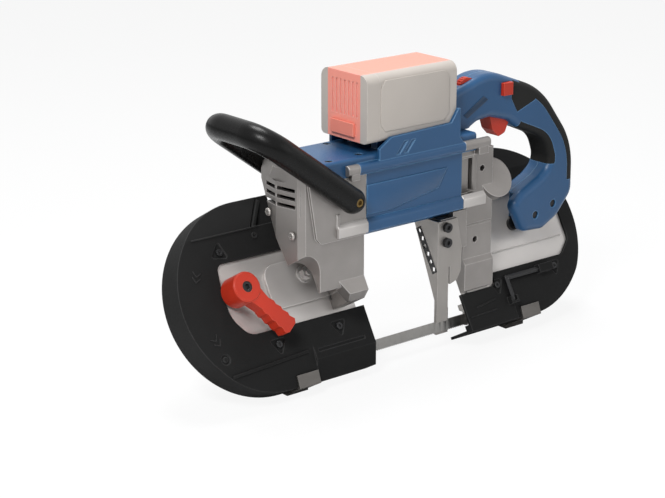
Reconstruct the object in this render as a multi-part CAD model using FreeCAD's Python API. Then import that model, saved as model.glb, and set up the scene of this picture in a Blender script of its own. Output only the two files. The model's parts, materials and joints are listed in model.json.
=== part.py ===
import FreeCAD
import Part
import math
import os

from FreeCAD import Vector

# Portable band saw. Construction frame, in millimetres: X runs along the saw from the idler
# wheel to the drive wheel, Y points away from the user's left side, Z is up, and the middle of
# the cutting run of the blade is the line Y = 0, Z = 0. The deck that carries both wheels leans
# back from the vertical. Deck coordinates are x along the saw, w up the slope and n outwards.

# Blade and wheels
DECK_LEAN = 30.0
BLADE_LENGTH = 1140.0
BLADE_WIDTH = 12.7
BLADE_THICK = 0.65
WHEEL_RADIUS = 77.0
WHEEL_PLANE = -5.0
RIM_WIDTH = 16.0
RIM_WALL = 5.0
TYRE_WALL = 2.7
WEB_THICK = 4.0
HUB_RADIUS = 16.0
WEB_HOLE_RADIUS = 10.0
WEB_HOLE_COUNT = 5
TWIST_STEPS = 6
TWIST_LEAD = 20.0
BEARING_RADIUS = 11.0
BEARING_WIDTH = 5.5

# Clearances
RUN_GAP = 0.3
SLIDE_GAP = 0.2
SHAFT_GAP = 0.05

# Deck, guards and shoes
DECK_BACK = 6.5
DECK_THICK = 4.0
DECK_LOW = 18.0
DECK_HIGH = 136.0
REAR_DECK_BACK = 13.0
BRIDGE_HIGH = 168.0
BRIDGE_DEPTH = 21.0
GUARD_FACE = 3.0
GUARD_WALL = 3.0
GUARD_BACK = -17.0
FRONT_GUARD_ROOM = 14.95
FRONT_GUARD_END = 110.0
FRONT_BAND_END = 22.0
REAR_GUARD_ROOM = 12.85
REAR_GUARD_START = 229.0
RIDGE_DROP = 6.5
RIDGE_WIDTH = 29.0
LOW_RIDGE_WIDTH = 34.8
LOW_RIDGE_END = 35.0
REAR_RIDGE_START = 296.0
GUARD_FRONT_Y = -10.5
STEP_FACE = 6.3
FOOT_RISE = 2.7
SHOE_WIDTH = 26.0
SHOE_LAP = 2.6
FRONT_SHOE_X = 8.0
REAR_SHOE_X = 306.0
SHOE_THICK = 2.0
SHOE_LENGTH = 47.0
SHOE_LIP = 11.0
REAR_PLATE_LEFT = 240.0
REAR_PLATE_RIGHT = 403.0
BRIDGE_LEFT = 62.0
POCKET_SIZE = 15.0
POCKET_DEPTH = 1.2
FRONT_POCKETS = ((-35.3, 126.3, 200), (-2.5, 26.5, 150), (72.6, 27.9, 30))
REAR_POCKETS = ((368.2, 27.2, 30), (281.1, 23.7, 150), (373.7, 128.0, 200))
FRONT_WINDOW = [(-42.5, 115.5), (-46.5, 86), (-45, 62), (-31, 42), (84, 41.5), (160, 41.5),
                (160, 115.5)]
FRONT_WINDOW_ROUND = [8, 40, 28, 17, 0, 0, 0]
REAR_WINDOW = [(240, 37.5), (386, 37.5), (402, 52), (402, 104), (386, 119), (240, 119)]
KEY_LEFT = 294.0
KEY_RIGHT = 352.0
KEY_CLIP_LEFT = 341.0
KEY_W = 28.0
KEY_END_W = 3.0

# Blade tension
TENSION_TRAVEL = 8.0
LEVER_X = -34.0
LEVER_W = 85.0
LEVER_HUB_RADIUS = 15.0
LEVER_HUB_HEIGHT = 29.0
LEVER_REACH = 60.0
LEVER_REST = -54.0
LEVER_NECK_RADIUS = 6.2
LEVER_THICK = 15.0
CARRIAGE_THICK = 3.6
SLIDE_PLATE_THICK = 2.6
TRACKING_X = 52.0
TRACKING_W = 86.5
AXLE_RADIUS = 5.0
CARRIAGE_LEFT = -52.0
CARRIAGE_RIGHT = 58.0
CARRIAGE_HALF = 17.0
CARRIAGE_TONGUE_LEFT = 18.0
CARRIAGE_TONGUE_RIGHT = 48.0
CARRIAGE_TONGUE_HALF = 9.0
SLIDE_PLATE_LEFT = 6.0
SLIDE_PLATE_RIGHT = 77.0
CAM_RADIUS = 10.0
CAM_SLACK = 1.2
CAM_SIDE = -16.0
LEVER_SCREW_RADIUS = 5.5

# Motor, gears and their castings
MOTOR_Y = 9.0
MOTOR_Z = 142.0
STATOR_RADIUS = 18.5
STATOR_LENGTH = 60.0
ROTOR_RADIUS = 10.8
MOTOR_SHAFT_RADIUS = 4.0
FAN_RADIUS = 17.0
GEAR_MODULE = 2.0
PINION_TEETH = 14
GEAR_TEETH = 56
GEAR_THICK = 5.0
BEVEL_TEETH = 9
BEVEL_RATIO = 2
BEVEL_MODULE = 1.6
LAYSHAFT_RADIUS = 5.0
DRIVE_SHAFT_RADIUS = 6.0
DOME_RADIUS = 21.5
CASE_WALL = 3.0
SHAFT_BEARING_WIDTH = 3.0
MOTOR_BEARING_RADIUS = 8.0
MOTOR_BEARING_WIDTH = 5.0
BACKLASH = 0.7
BEVEL_FACE = 0.62
STATOR_LEFT = 112.0
SHAFT_LEFT = 42.5
FAN_LEFT = 54.0
FAN_WIDTH = 10.0
FAN_BLADES = 7
BEVEL_HUB = 4.0
PINION_HUB = 7.0
COLUMN_WALL = 8.0
SHAFT_SCREW_SIDE = 5.0
SHAFT_SCREW_RISE = 5.0
LAY_BEARING_LOW = 30.0
DOME_RISE = 12.0
DOME_INSIDE = 9.0

# Body
BODY_MIDDLE = 14.0
BODY_HALF = 34.0
BODY_TOP = 188.0
BODY_LOW = 119.0
BODY_SIDE_LOW = 139.0
BODY_WALL = 3.0
HEAD_LEFT = 10.0
HEAD_RIGHT = 88.0
LEG_LEFT = 46.0
LEG_LOW = 60.0
HEAD_WALL = 4.0
BLOCK_LEFT = 68.0
BLOCK_LOW = 45.0
BLOCK_HIGH = 70.0
BLOCK_FRONT = 57.5
BLOCK_SLANT = 14.0
BLOCK_BEVEL = 6.0
BLOCK_UNDERCUT = 11.0
BLOCK_ROUND = 6.0
BLOCK_BACK = 44.0
BLOCK_FOOT = 74.0
COLUMN_LEFT = 232.0
COLUMN_RIGHT = 272.0
COLUMN_FRONT = -4.0
COLUMN_TOP = 183.0
COVER_THICK = 18.0
COVER_LEFT = 26.0
HOUSING_RIGHT = 213.0
HEAD_TOP = 205.0
RAIL_PROUD = 6.0
RAIL_HEIGHT = 10.0
HOOD_BACK_N = 52.0
PANEL_PROUD = 3.0
VENT_ROWS = 3
VENT_PITCH = 8.0
VENT_HEIGHT = 3.6
RAIL_LEFT = 62.0
RAIL_BLUE_LEFT = 76.0
ARCH_X = 16.0
ARCH_W = 77.0
ARCH_RADIUS = 17.3
BOLT_ROOM_RADIUS = 19.0
HEAD_SCREWS = ((27.0, 155.0), (-6.0, 138.0))
HEAD_SCREW_RADIUS = 4.0
COLLAR_FRONT = -9.0
RAIL_RIGHT = 247.0
LEDGE_Z = 63.0
LEDGE_PROUD = 4.0
LEDGE_SLOPE = 5.0
COLUMN_FOOT = 20.0
COLUMN_REAR = 60.0
COLUMN_HOLES = ((257.0, 161.6), (249.0, 87.0))
COLUMN_HOLE_RADIUS = 3.3
COLUMN_HOLE_DEPTH = 16.0
CRADLE_LEFT = 101.0
CRADLE_HIGH = 14.5
CRADLE_WALL = 3.4
SLASHES = (122.0, 132.0)
BOARD_LEFT = 112.0
BOARD_RIGHT = 205.0
BOARD_SIDE = 10.0
BOARD_THICK = 1.6
BOARD_POST = 6.0
COVER_SCREWS = ((88.0, 40.0), (86.0, -10.0), (47.0, -13.0), (47.0, 40.0))

# Battery
BATTERY_LEFT = 88.0
BATTERY_LENGTH = 115.0
BATTERY_WIDTH = 69.0
BATTERY_HEIGHT = 66.0
BATTERY_RISE = 10.0
BATTERY_WALL = 2.5
BATTERY_CAP = 16.0
CELL_RADIUS = 9.2
CELL_END_GAP = 0.5
CELL_COLUMNS = 5
CELL_ROWS = 2
BUTTON_TRAVEL = 4.0
BATTERY_BUTTON_HALF = 17.0
BATTERY_BUTTON_DEPTH = 6.0

# Handles
HANDLE_WIDTH = 34.0
HANDLE_WALL = 3.0
GRIP_SKIN = 7.0
GRIP_OUTER_SKIN = 11.0
BAIL_RADIUS = 12.5
BAIL_BEND = 25.0
BAIL_FLAT = 3.7
BAIL_BOLT_RADIUS = 4.2
BAIL_BOLT_HEIGHT = 4.0
BAIL_BOLT_SINK = 5.0
BAIL_X = -40.0
BAIL_Z = 243.5
BAIL_BOLT_X = 63.0
BAIL_BOLT_Z = 168.0
BALL_PROUD = 0.2
TRIGGER_WIDTH = 17.0
TRIGGER_TRAVEL = 5.0
LOCK_TRAVEL = 4.0
DIAL_RADIUS = 12.0
DIAL_WIDTH = 7.0
HANDLE_LINE = [(207, 188), (207, 243), (268, 261), (345, 232), (394, 168), (395, 112), (374, 88),
               (352, 77), (322, 79), (304, 112), (318, 124), (345, 136), (361, 148), (350, 178),
               (310, 195), (296, 205), (270, 212), (252, 210), (240, 204), (238, 188)]
HANDLE_ROUND = [9, 12, 60, 90, 80, 20, 20, 10, 9, 9, 25, 14, 16, 30, 20, 20, 20, 12, 9, 9]
HANDLE_SOFTEN = 8.0
GRIP_OUTER = [(305, 300), (430, 300), (430, 124), (372, 128), (372, 160), (352, 195), (312, 226)]
GRIP_INNER = [(308, 184), (314, 214), (350, 192), (368, 160), (364, 148), (330, 148)]
GRIP_SIDE = [(304, 262), (297, 240), (297, 228), (306, 213), (331, 222), (350, 240), (340, 262)]
GRIP_SIDE_SKIN = 2.5
TRIGGER_LINE = [(271, 222), (296, 222), (302, 202), (297, 191), (288, 188), (280, 196)]
TRIGGER_AXIS = Vector(0.5, 0, math.sqrt(0.75))
LOCK_X = 282.0
LOCK_Z = 233.5
LOCK_SIZE = 13.0
LOCK_REAR = 8.0
DIAL_X = 241.0
DIAL_Y = 4.0
DIAL_Z = 244.5
FOOT_BOLTS = ((338.0, 96.0), (364.0, 104.0))
FOOT_BOLT_RADIUS = 4.2
FOOT_SOLID_TOP = 121.0

# Blade guides, work stop and small fasteners
GUIDE_FRONT_X = 99.0
GUIDE_REAR_X = 246.0
ROLLER_RADIUS = 3.4
ROLLER_PIN_RADIUS = 1.5
ROLLER_HEIGHT = 11.0
GUIDE_THICK = 2.4
STOP_X = 190.0
STOP_THICK = 3.0
JAW_THICK = 1.6
JAW_HOLE = 4.8
STOP_WIDTH = 33.0
STOP_FRONT = -12.0
STOP_LOW = 10.5
STOP_TIP = -9.0
STOP_HIGH = 118.0
STOP_SLOT = 2.4
STOP_SLOT_TOP = 68.0
STOP_HOLES = 6
STOP_BOLTS = (111.0, 95.0)
STOP_BOLT_SIDE = 11.0
TAB_FRONT = 1.3
TAB_LEFT = 202.0
TAB_RIGHT = 218.0
TAB_HIGH = 18.0
HEX_KEY_FLATS = 5.0
SCREW_RADIUS = 3.4
SCREW_HEIGHT = 2.4

# Sizes that follow
CENTRE = WHEEL_RADIUS + BLADE_THICK / 2
FRONT_GUARD_RADIUS = WHEEL_RADIUS + BLADE_THICK + FRONT_GUARD_ROOM + GUARD_WALL
REAR_GUARD_RADIUS = WHEEL_RADIUS + BLADE_THICK + REAR_GUARD_ROOM + GUARD_WALL
SPAN = (BLADE_LENGTH - 2 * math.pi * CENTRE) / 2
DECK_FACE = DECK_BACK + DECK_THICK
REAR_FACE = REAR_DECK_BACK + DECK_THICK
FRONT_SKIN = DECK_FACE + GUARD_FACE
REAR_SKIN = REAR_FACE + GUARD_FACE
SLOPE_UP = Vector(0, math.sin(math.radians(DECK_LEAN)), math.cos(math.radians(DECK_LEAN)))
SLOPE_OUT = Vector(0, -SLOPE_UP.z, SLOPE_UP.y)
MOTOR_W = MOTOR_Y * SLOPE_UP.y + MOTOR_Z * SLOPE_UP.z
MOTOR_N = MOTOR_Y * SLOPE_OUT.y + MOTOR_Z * SLOPE_OUT.z
GEAR_DISTANCE = GEAR_MODULE * (PINION_TEETH + GEAR_TEETH) / 2
LAYSHAFT_X = SPAN - math.sqrt(GEAR_DISTANCE ** 2 - (MOTOR_W - CENTRE) ** 2)
RIM_BACK = WHEEL_PLANE - RIM_WIDTH / 2
RIM_FRONT = WHEEL_PLANE + RIM_WIDTH / 2
GEAR_BACK = RIM_FRONT + 1.5
BEVEL_GEAR_TEETH = BEVEL_TEETH * BEVEL_RATIO
PINION_BACK = LAYSHAFT_X - BEVEL_MODULE * BEVEL_GEAR_TEETH / 2
BODY_FRONT = BODY_MIDDLE - BODY_HALF
BODY_REAR = BODY_MIDDLE + BODY_HALF
LEG_SIDE = BODY_FRONT + PANEL_PROUD
COVER_TOP = BODY_TOP + COVER_THICK
BATTERY_LOW = COVER_TOP + BATTERY_RISE
BATTERY_FRONT = BODY_MIDDLE - BATTERY_WIDTH / 2
BATTERY_REAR = BODY_MIDDLE + BATTERY_WIDTH / 2
CELL_LENGTH = BATTERY_WIDTH - 2 * (BATTERY_WALL + CELL_END_GAP)
HANDLE_FRONT = BODY_MIDDLE - HANDLE_WIDTH / 2
HANDLE_REAR = BODY_MIDDLE + HANDLE_WIDTH / 2
UPRIGHT_LEFT = GUIDE_FRONT_X - ROLLER_RADIUS - 2
UPRIGHT_RIGHT = GUIDE_REAR_X + ROLLER_RADIUS + 2
CARRIAGE_FRONT = DECK_BACK - RUN_GAP
CARRIAGE_BACK = CARRIAGE_FRONT - CARRIAGE_THICK
KEY_N = REAR_SKIN + HEX_KEY_FLATS / math.sqrt(3)
GUARD_LOW = CENTRE - max(FRONT_GUARD_RADIUS, REAR_GUARD_RADIUS)
FLOOR = GUARD_LOW * SLOPE_UP.z + GUARD_BACK * SLOPE_OUT.z - FOOT_RISE


# Shapes to build with

def box(x_low, x_high, y_low, y_high, z_low, z_high):
    corner = Vector(x_low, y_low, z_low)
    return Part.makeBox(x_high - x_low, y_high - y_low, z_high - z_low, corner)


def rod(start, end, radius):
    axis = end - start
    return Part.makeCylinder(radius, axis.Length, start, axis)


def tube(start, end, outer, inner):
    return rod(start, end, outer).cut(rod(start, end, inner))


def disc(x, w, n_low, n_high, radius):
    return Part.makeCylinder(radius, n_high - n_low, Vector(x, w, n_low))


def ring(x, w, n_low, n_high, outer, inner):
    return disc(x, w, n_low, n_high, outer).cut(disc(x, w, n_low, n_high, inner))


def fuse(shapes):
    return shapes[0].multiFuse(shapes[1:]).removeSplitter()


def outline(points, radius):
    """Closed wire through points in the XY plane, its corners rounded by one radius or a list."""
    count = len(points)
    radii = radius if isinstance(radius, list) else [radius] * count
    corners = [Vector(x, y, 0) for x, y in points]
    edges = []
    starts = []
    ends = []
    for i in range(count):
        before = (corners[i - 1] - corners[i]).normalize()
        after = (corners[(i + 1) % count] - corners[i]).normalize()
        half = before.getAngle(after) / 2
        trim = radii[i] / math.tan(half)
        starts.append(corners[i] + before * trim)
        ends.append(corners[i] + after * trim)
    for i in range(count):
        if radii[i] > 0:
            inward = (starts[i] + ends[i]) * 0.5 - corners[i]
            inward.normalize()
            half = (starts[i] - corners[i]).getAngle(inward)
            middle = corners[i] + inward * (radii[i] / math.sin(half) - radii[i])
            edges.append(Part.Arc(starts[i], middle, ends[i]).toShape())
        edges.append(Part.makeLine(ends[i], starts[(i + 1) % count]))
    return Part.Wire(edges)


def slab(points, radius, low, high):
    """Prism on an outline in the XY plane, from one height to another."""
    face = Part.Face(outline(points, radius))
    face.translate(Vector(0, 0, low))
    return face.extrude(Vector(0, 0, high - low))


def upright(points, radius, y_low, y_high):
    """Prism on an outline in X and Z, across the saw."""
    solid = slab(points, radius, -y_high, -y_low)
    solid.rotate(Vector(0, 0, 0), Vector(1, 0, 0), 90)
    return solid


def lengthwise(points, radius, x_low, x_high):
    """Prism on an outline in Y and Z, along the saw."""
    solid = slab(points, radius, x_low, x_high)
    solid.rotate(Vector(0, 0, 0), Vector(1, 1, 1), 120)
    return solid


def deck(shape):
    """Leans a shape in deck coordinates back into the construction frame."""
    leaned = shape.copy()
    leaned.rotate(Vector(0, 0, 0), Vector(1, 0, 0), 90 - DECK_LEAN)
    return leaned


def hexagon(x, w, n_low, n_high, flats):
    radius = flats / math.sqrt(3)
    points = []
    for i in range(6):
        angle = math.radians(60 * i + 30)
        points.append((x + radius * math.cos(angle), w + radius * math.sin(angle)))
    return slab(points, 0, n_low, n_high)


def socket_screw(x, w, seat, radius, height):
    """Screw head with a hexagon socket, standing on a face at a height."""
    head = disc(x, w, seat, seat + height, radius)
    return head.cut(hexagon(x, w, seat + height * 0.4, seat + height, radius))


def deck_side(n_low, n_high):
    """Everything between two distances from the wheel plane's line, in the construction frame."""
    far = BLADE_LENGTH
    return deck(box(-far, far, -far, far, n_low, n_high))


# Blade and wheels

def blade_section(x, turn, centre_n):
    """Cross-section of the blade: turn is 1 on the wheels and 0 where the blade stands upright."""
    half_thick = BLADE_THICK / 2
    half_width = BLADE_WIDTH / 2
    corners = []
    for y, z in ((-1, -1), (1, -1), (1, 1), (-1, 1)):
        corners.append(Vector(x, y * half_thick, z * half_width))
    section = Part.makePolygon(corners + corners[:1])
    section.rotate(Vector(x, 0, 0), Vector(1, 0, 0), (90 - DECK_LEAN) * turn)
    section.translate(SLOPE_OUT * (centre_n * turn))
    return section


def blade_twist(x_wheel, x_guide):
    sections = []
    for i in range(TWIST_STEPS + 1):
        share = i / TWIST_STEPS
        x = x_wheel + (x_guide - x_wheel) * share
        sections.append(blade_section(x, 1 - share, WHEEL_PLANE))
    return Part.makeLoft(sections, True, False)


def blade():
    low = WHEEL_PLANE - BLADE_WIDTH / 2
    high = WHEEL_PLANE + BLADE_WIDTH / 2
    reach = 2 * FRONT_GUARD_RADIUS
    outer = WHEEL_RADIUS + BLADE_THICK
    top = CENTRE + WHEEL_RADIUS
    front = ring(0, CENTRE, low, high, outer, WHEEL_RADIUS)
    front = front.cut(box(0, reach, -reach, reach, low, high))
    rear = ring(SPAN, CENTRE, low, high, outer, WHEEL_RADIUS)
    rear = rear.cut(box(SPAN - reach, SPAN, -reach, reach, low, high))
    back_run = box(0, SPAN, top, top + BLADE_THICK, low, high)
    cut_run = box(UPRIGHT_LEFT, UPRIGHT_RIGHT, -BLADE_THICK / 2, BLADE_THICK / 2,
                  -BLADE_WIDTH / 2, BLADE_WIDTH / 2)
    lead_front = box(0, TWIST_LEAD, -BLADE_THICK / 2, BLADE_THICK / 2, low, high)
    lead_rear = box(SPAN - TWIST_LEAD, SPAN, -BLADE_THICK / 2, BLADE_THICK / 2, low, high)
    runs = [deck(front), deck(rear), deck(back_run), deck(lead_front), deck(lead_rear), cut_run]
    runs.append(blade_twist(TWIST_LEAD, UPRIGHT_LEFT))
    runs.append(blade_twist(SPAN - TWIST_LEAD, UPRIGHT_RIGHT))
    return fuse(runs)


def wheel(x, bore):
    tyre_seat = WHEEL_RADIUS - RUN_GAP - TYRE_WALL
    rim = ring(x, CENTRE, RIM_BACK, RIM_FRONT, tyre_seat, tyre_seat - RIM_WALL)
    web_back = RIM_BACK + 3
    web = disc(x, CENTRE, web_back, web_back + WEB_THICK, tyre_seat - RIM_WALL / 2)
    hub = disc(x, CENTRE, RIM_BACK + 1, CARRIAGE_BACK - 2 * RUN_GAP, HUB_RADIUS)
    body = fuse([rim, web, hub])
    hole_circle = (HUB_RADIUS + tyre_seat - RIM_WALL) / 2
    for i in range(WEB_HOLE_COUNT):
        angle = 2 * math.pi * i / WEB_HOLE_COUNT
        hole_x = x + hole_circle * math.cos(angle)
        hole_w = CENTRE + hole_circle * math.sin(angle)
        body = body.cut(disc(hole_x, hole_w, RIM_BACK, RIM_FRONT, WEB_HOLE_RADIUS))
    return body.cut(disc(x, CENTRE, RIM_BACK, RIM_FRONT, bore))


def tyre(x):
    outer = WHEEL_RADIUS - RUN_GAP
    return deck(ring(x, CENTRE, RIM_BACK, RIM_FRONT, outer, outer - TYRE_WALL))


def idler_wheel():
    return deck(wheel(0, BEARING_RADIUS))


def idler_bearings():
    bearings = []
    for low in (RIM_BACK + 1, CARRIAGE_BACK - 2 * RUN_GAP - BEARING_WIDTH):
        high = low + BEARING_WIDTH
        bearings.append(deck(ring(0, CENTRE, low, high, BEARING_RADIUS, AXLE_RADIUS + SHAFT_GAP)))
    return Part.makeCompound(bearings)


def idler_axle():
    head = disc(0, CENTRE, RIM_BACK - 2.5, RIM_BACK + 1 - RUN_GAP, AXLE_RADIUS + 2)
    shank = disc(0, CENTRE, RIM_BACK - 2.5, CARRIAGE_FRONT, AXLE_RADIUS)
    return deck(fuse([head, shank]))


def drive_wheel():
    return deck(wheel(SPAN, DRIVE_SHAFT_RADIUS))


def drive_shaft():
    shank = disc(SPAN, CENTRE, RIM_BACK - 1, REAR_DECK_BACK + SHAFT_BEARING_WIDTH - RUN_GAP, DRIVE_SHAFT_RADIUS)
    head = disc(SPAN, CENTRE, RIM_BACK - 3, RIM_BACK + 1, DRIVE_SHAFT_RADIUS + 5)
    return deck(fuse([shank, head]))


# Deck casting, guards and shoes

def main_frame():
    front_points = [(-72, 48), (-42, DECK_LOW), (FRONT_GUARD_END - 8, DECK_LOW),
                    (FRONT_GUARD_END - 8, DECK_HIGH), (-42, DECK_HIGH), (-72, 108)]
    front = slab(front_points, 8, DECK_BACK, DECK_FACE)
    bridge_low = DECK_HIGH - 4
    bridge = box(BRIDGE_LEFT, REAR_PLATE_LEFT + 20, bridge_low, BRIDGE_HIGH, DECK_BACK, DECK_FACE)
    flange_back = DECK_BACK - BRIDGE_DEPTH
    upper = box(BRIDGE_LEFT, REAR_PLATE_LEFT + 20, BRIDGE_HIGH - 4, BRIDGE_HIGH, flange_back, DECK_BACK)
    lower = box(BRIDGE_LEFT, REAR_PLATE_LEFT + 20, bridge_low, DECK_HIGH, flange_back, DECK_BACK)
    step = box(REAR_PLATE_LEFT, REAR_PLATE_LEFT + 20, bridge_low, BRIDGE_HIGH, DECK_BACK, REAR_FACE)
    rear_points = [(REAR_PLATE_LEFT, 24), (382, 24), (REAR_PLATE_RIGHT, 46), (REAR_PLATE_RIGHT, 110),
                   (374, 139), (316, 139), (316, BRIDGE_HIGH - 4), (REAR_PLATE_LEFT, BRIDGE_HIGH - 4)]
    rear = slab(rear_points, 4, REAR_DECK_BACK, REAR_FACE)
    body = fuse([front, bridge, upper, lower, step, rear])
    slot_gap = SLIDE_GAP
    slot = box(CARRIAGE_TONGUE_LEFT - slot_gap, CARRIAGE_TONGUE_RIGHT + TENSION_TRAVEL + slot_gap,
               CENTRE - CARRIAGE_TONGUE_HALF - slot_gap, CENTRE + CARRIAGE_TONGUE_HALF + slot_gap,
               DECK_BACK, DECK_FACE)
    body = body.cut(slot)
    body = body.cut(disc(LEVER_X, LEVER_W, DECK_BACK, DECK_FACE, AXLE_RADIUS + SHAFT_GAP))
    seat_top = REAR_DECK_BACK + SHAFT_BEARING_WIDTH
    for x, w in ((SPAN, CENTRE), (LAYSHAFT_X, MOTOR_W)):
        body = body.cut(disc(x, w, REAR_DECK_BACK, seat_top, BEARING_RADIUS))
    body = body.cut(disc(LAYSHAFT_X, MOTOR_W, REAR_DECK_BACK, REAR_FACE, LAYSHAFT_RADIUS + RUN_GAP))
    groove = box(292, 396, 57, 58.4, REAR_FACE - 1, REAR_FACE)
    return deck(body.cut(groove))


def guard_outline(radius, x_wheel, x_end):
    """Half circle round a wheel with two straight arms that run to an end on one side."""
    side = 1 if x_end > x_wheel else -1
    low = CENTRE - radius
    high = CENTRE + radius
    arc = Part.Arc(Vector(x_wheel, low, 0), Vector(x_wheel - side * radius, CENTRE, 0),
                   Vector(x_wheel, high, 0)).toShape()
    top = Part.makeLine(Vector(x_wheel, high, 0), Vector(x_end, high, 0))
    end = Part.makeLine(Vector(x_end, high, 0), Vector(x_end, low, 0))
    bottom = Part.makeLine(Vector(x_end, low, 0), Vector(x_wheel, low, 0))
    return Part.Face(Part.Wire([arc, top, end, bottom]))


def guard_prism(radius, x_wheel, x_end, low, high):
    face = guard_outline(radius, x_wheel, x_end)
    face.translate(Vector(0, 0, low))
    return face.extrude(Vector(0, 0, high - low))


def guard_shell(radius, x_wheel, x_end, skin, ridges):
    """Hollow cover whose front face falls back towards its upper and lower edges."""
    open_end = x_end + (x_end - x_wheel)
    far = BLADE_LENGTH
    low = CENTRE - radius
    high = CENTRE + radius
    shell = guard_prism(radius, x_wheel, x_end, GUARD_BACK, skin)
    for edge, inner, x_low, x_high in ((high, high - RIDGE_WIDTH, ridges[0], ridges[1]),
                                       (low, low + LOW_RIDGE_WIDTH, ridges[2], ridges[3])):
        wedge = lengthwise([(edge, skin - RIDGE_DROP), (2 * edge - inner, skin - RIDGE_DROP),
                            (2 * edge - inner, skin + RIDGE_WIDTH), (inner, skin + RIDGE_WIDTH),
                            (inner, skin)], 0, x_low, x_high)
        shell = shell.cut(wedge)
    inner_radius = radius - GUARD_WALL
    cavity = guard_prism(inner_radius, x_wheel, open_end, GUARD_BACK, skin - GUARD_FACE - RIDGE_DROP)
    core = guard_prism(inner_radius, x_wheel, open_end, GUARD_BACK, skin - GUARD_FACE)
    band = box(-far, far, low + LOW_RIDGE_WIDTH, high - RIDGE_WIDTH, GUARD_BACK, skin)
    return shell.cut(cavity).cut(core.common(band))


def pocket(x, w, turn, skin):
    """Three-cornered screw recess in the face of a guard."""
    points = []
    for i in range(3):
        angle = math.radians(turn + 120 * i)
        points.append((x + POCKET_SIZE * 0.75 * math.cos(angle), w + POCKET_SIZE * 0.75 * math.sin(angle)))
    return slab(points, 2, skin - POCKET_DEPTH, skin)


def front_guard():
    low = CENTRE - FRONT_GUARD_RADIUS
    high = CENTRE + FRONT_GUARD_RADIUS
    shell = guard_shell(FRONT_GUARD_RADIUS, 0, FRONT_GUARD_END, FRONT_SKIN,
                        (-FRONT_GUARD_RADIUS, FRONT_GUARD_END, -FRONT_GUARD_RADIUS, LOW_RIDGE_END))
    window = slab(FRONT_WINDOW, FRONT_WINDOW_ROUND, DECK_BACK, FRONT_SKIN)
    shell = shell.cut(window)
    band_low = high - RIDGE_WIDTH
    band_cut = slab([(FRONT_BAND_END - 14, band_low), (FRONT_BAND_END + 8, high + 1), (160, high + 1),
                     (160, band_low)], 0, STEP_FACE, FRONT_SKIN)
    shell = shell.cut(band_cut)
    shell = shell.cut(box(LEG_LEFT - 2, 160, 43.5, high, GUARD_BACK, FRONT_SKIN))
    for x, w, turn in FRONT_POCKETS:
        shell = shell.cut(pocket(x, w, turn, FRONT_SKIN))
    mark = ring(-65.5, 26, FRONT_SKIN - POCKET_DEPTH, FRONT_SKIN, 5, 2.6)
    groove = box(40, 99, 9, 12, FRONT_SKIN - POCKET_DEPTH, FRONT_SKIN)
    guide_room = box(GUIDE_FRONT_X - 11, FRONT_GUARD_END, -8, 18, GUARD_BACK, DECK_FACE)
    shell = deck(shell.cut(mark).cut(groove).cut(guide_room))
    return straight_front(shell, low, LOW_RIDGE_END, FRONT_GUARD_END)


def straight_front(shell, low, x_low, x_high):
    """Gives the lower front of a guard an upright wall between two ends."""
    shell = shell.cut(box(x_low, x_high, -100, GUARD_FRONT_Y, -60, 40))
    inside = deck(guard_room(low, x_low, x_high))
    wall = box(x_low, x_high, GUARD_FRONT_Y, GUARD_FRONT_Y + GUARD_WALL - 0.5, -60, 40)
    return fuse([shell, wall.common(inside)])


def guard_room(low, x_low, x_high):
    return box(x_low, x_high, low, low + 50, GUARD_BACK, FRONT_SKIN)


def rear_guard():
    shell = guard_shell(REAR_GUARD_RADIUS, SPAN, REAR_GUARD_START, REAR_SKIN,
                        (SPAN + 8, SPAN + REAR_GUARD_RADIUS, REAR_RIDGE_START, SPAN + REAR_GUARD_RADIUS))
    window = slab(REAR_WINDOW, [0, 10, 10, 10, 10, 0], DECK_BACK, REAR_SKIN)
    high = CENTRE + REAR_GUARD_RADIUS
    shell = shell.cut(window)
    shell = shell.cut(box(0, COLUMN_RIGHT + 46, 37.5, high, GUARD_BACK, REAR_SKIN))
    corner = slab([(REAR_GUARD_START - 1, 40), (COLUMN_RIGHT + 8, 40), (COLUMN_RIGHT + 8, 24),
                   (REAR_GUARD_START - 1, 24)], 0, GUARD_BACK, REAR_SKIN)
    shell = shell.cut(corner)
    guide_room = box(REAR_GUARD_START, GUIDE_REAR_X + 11, -8, 40, GUARD_BACK, REAR_FACE)
    shell = shell.cut(guide_room)
    for x, w, turn in REAR_POCKETS:
        shell = shell.cut(pocket(x, w, turn, REAR_SKIN))
    clip_low = REAR_SKIN - 0.5
    clip_high = REAR_SKIN + HEX_KEY_FLATS + 1.5
    clip = box(KEY_CLIP_LEFT, KEY_CLIP_LEFT + 20, KEY_W - 4.5, KEY_W + 4.5, clip_low, clip_high)
    rest = box(KEY_LEFT - 5, KEY_LEFT + 5, KEY_END_W - 3, KEY_END_W + 5, clip_low, clip_high)
    rest = rest.cut(box(KEY_LEFT - 3.3, KEY_LEFT + 3.3, KEY_END_W - 0.5, 60, clip_low, clip_high))
    clip = clip.cut(key_bar(KEY_CLIP_LEFT - 1, KEY_RIGHT))
    shell = fuse([shell, clip, rest])
    return deck(shell)


def key_bar(x_low, x_high):
    bar = hexagon(0, 0, x_low, x_high, HEX_KEY_FLATS)
    bar.rotate(Vector(0, 0, 0), Vector(1, 1, 1), 120)
    bar.translate(Vector(0, KEY_W, KEY_N))
    return bar


def hex_key():
    radius = HEX_KEY_FLATS / math.sqrt(3)
    long_arm = key_bar(KEY_LEFT, KEY_RIGHT)
    short_arm = hexagon(KEY_LEFT, 0, 0, KEY_W - KEY_END_W, HEX_KEY_FLATS)
    short_arm.rotate(Vector(KEY_LEFT, 0, 0), Vector(1, 0, 0), 90)
    short_arm.translate(Vector(0, KEY_W, KEY_N))
    elbow = Part.makeSphere(radius, Vector(KEY_LEFT, KEY_W, KEY_N))
    return deck(fuse([long_arm, short_arm, elbow]))


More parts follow.
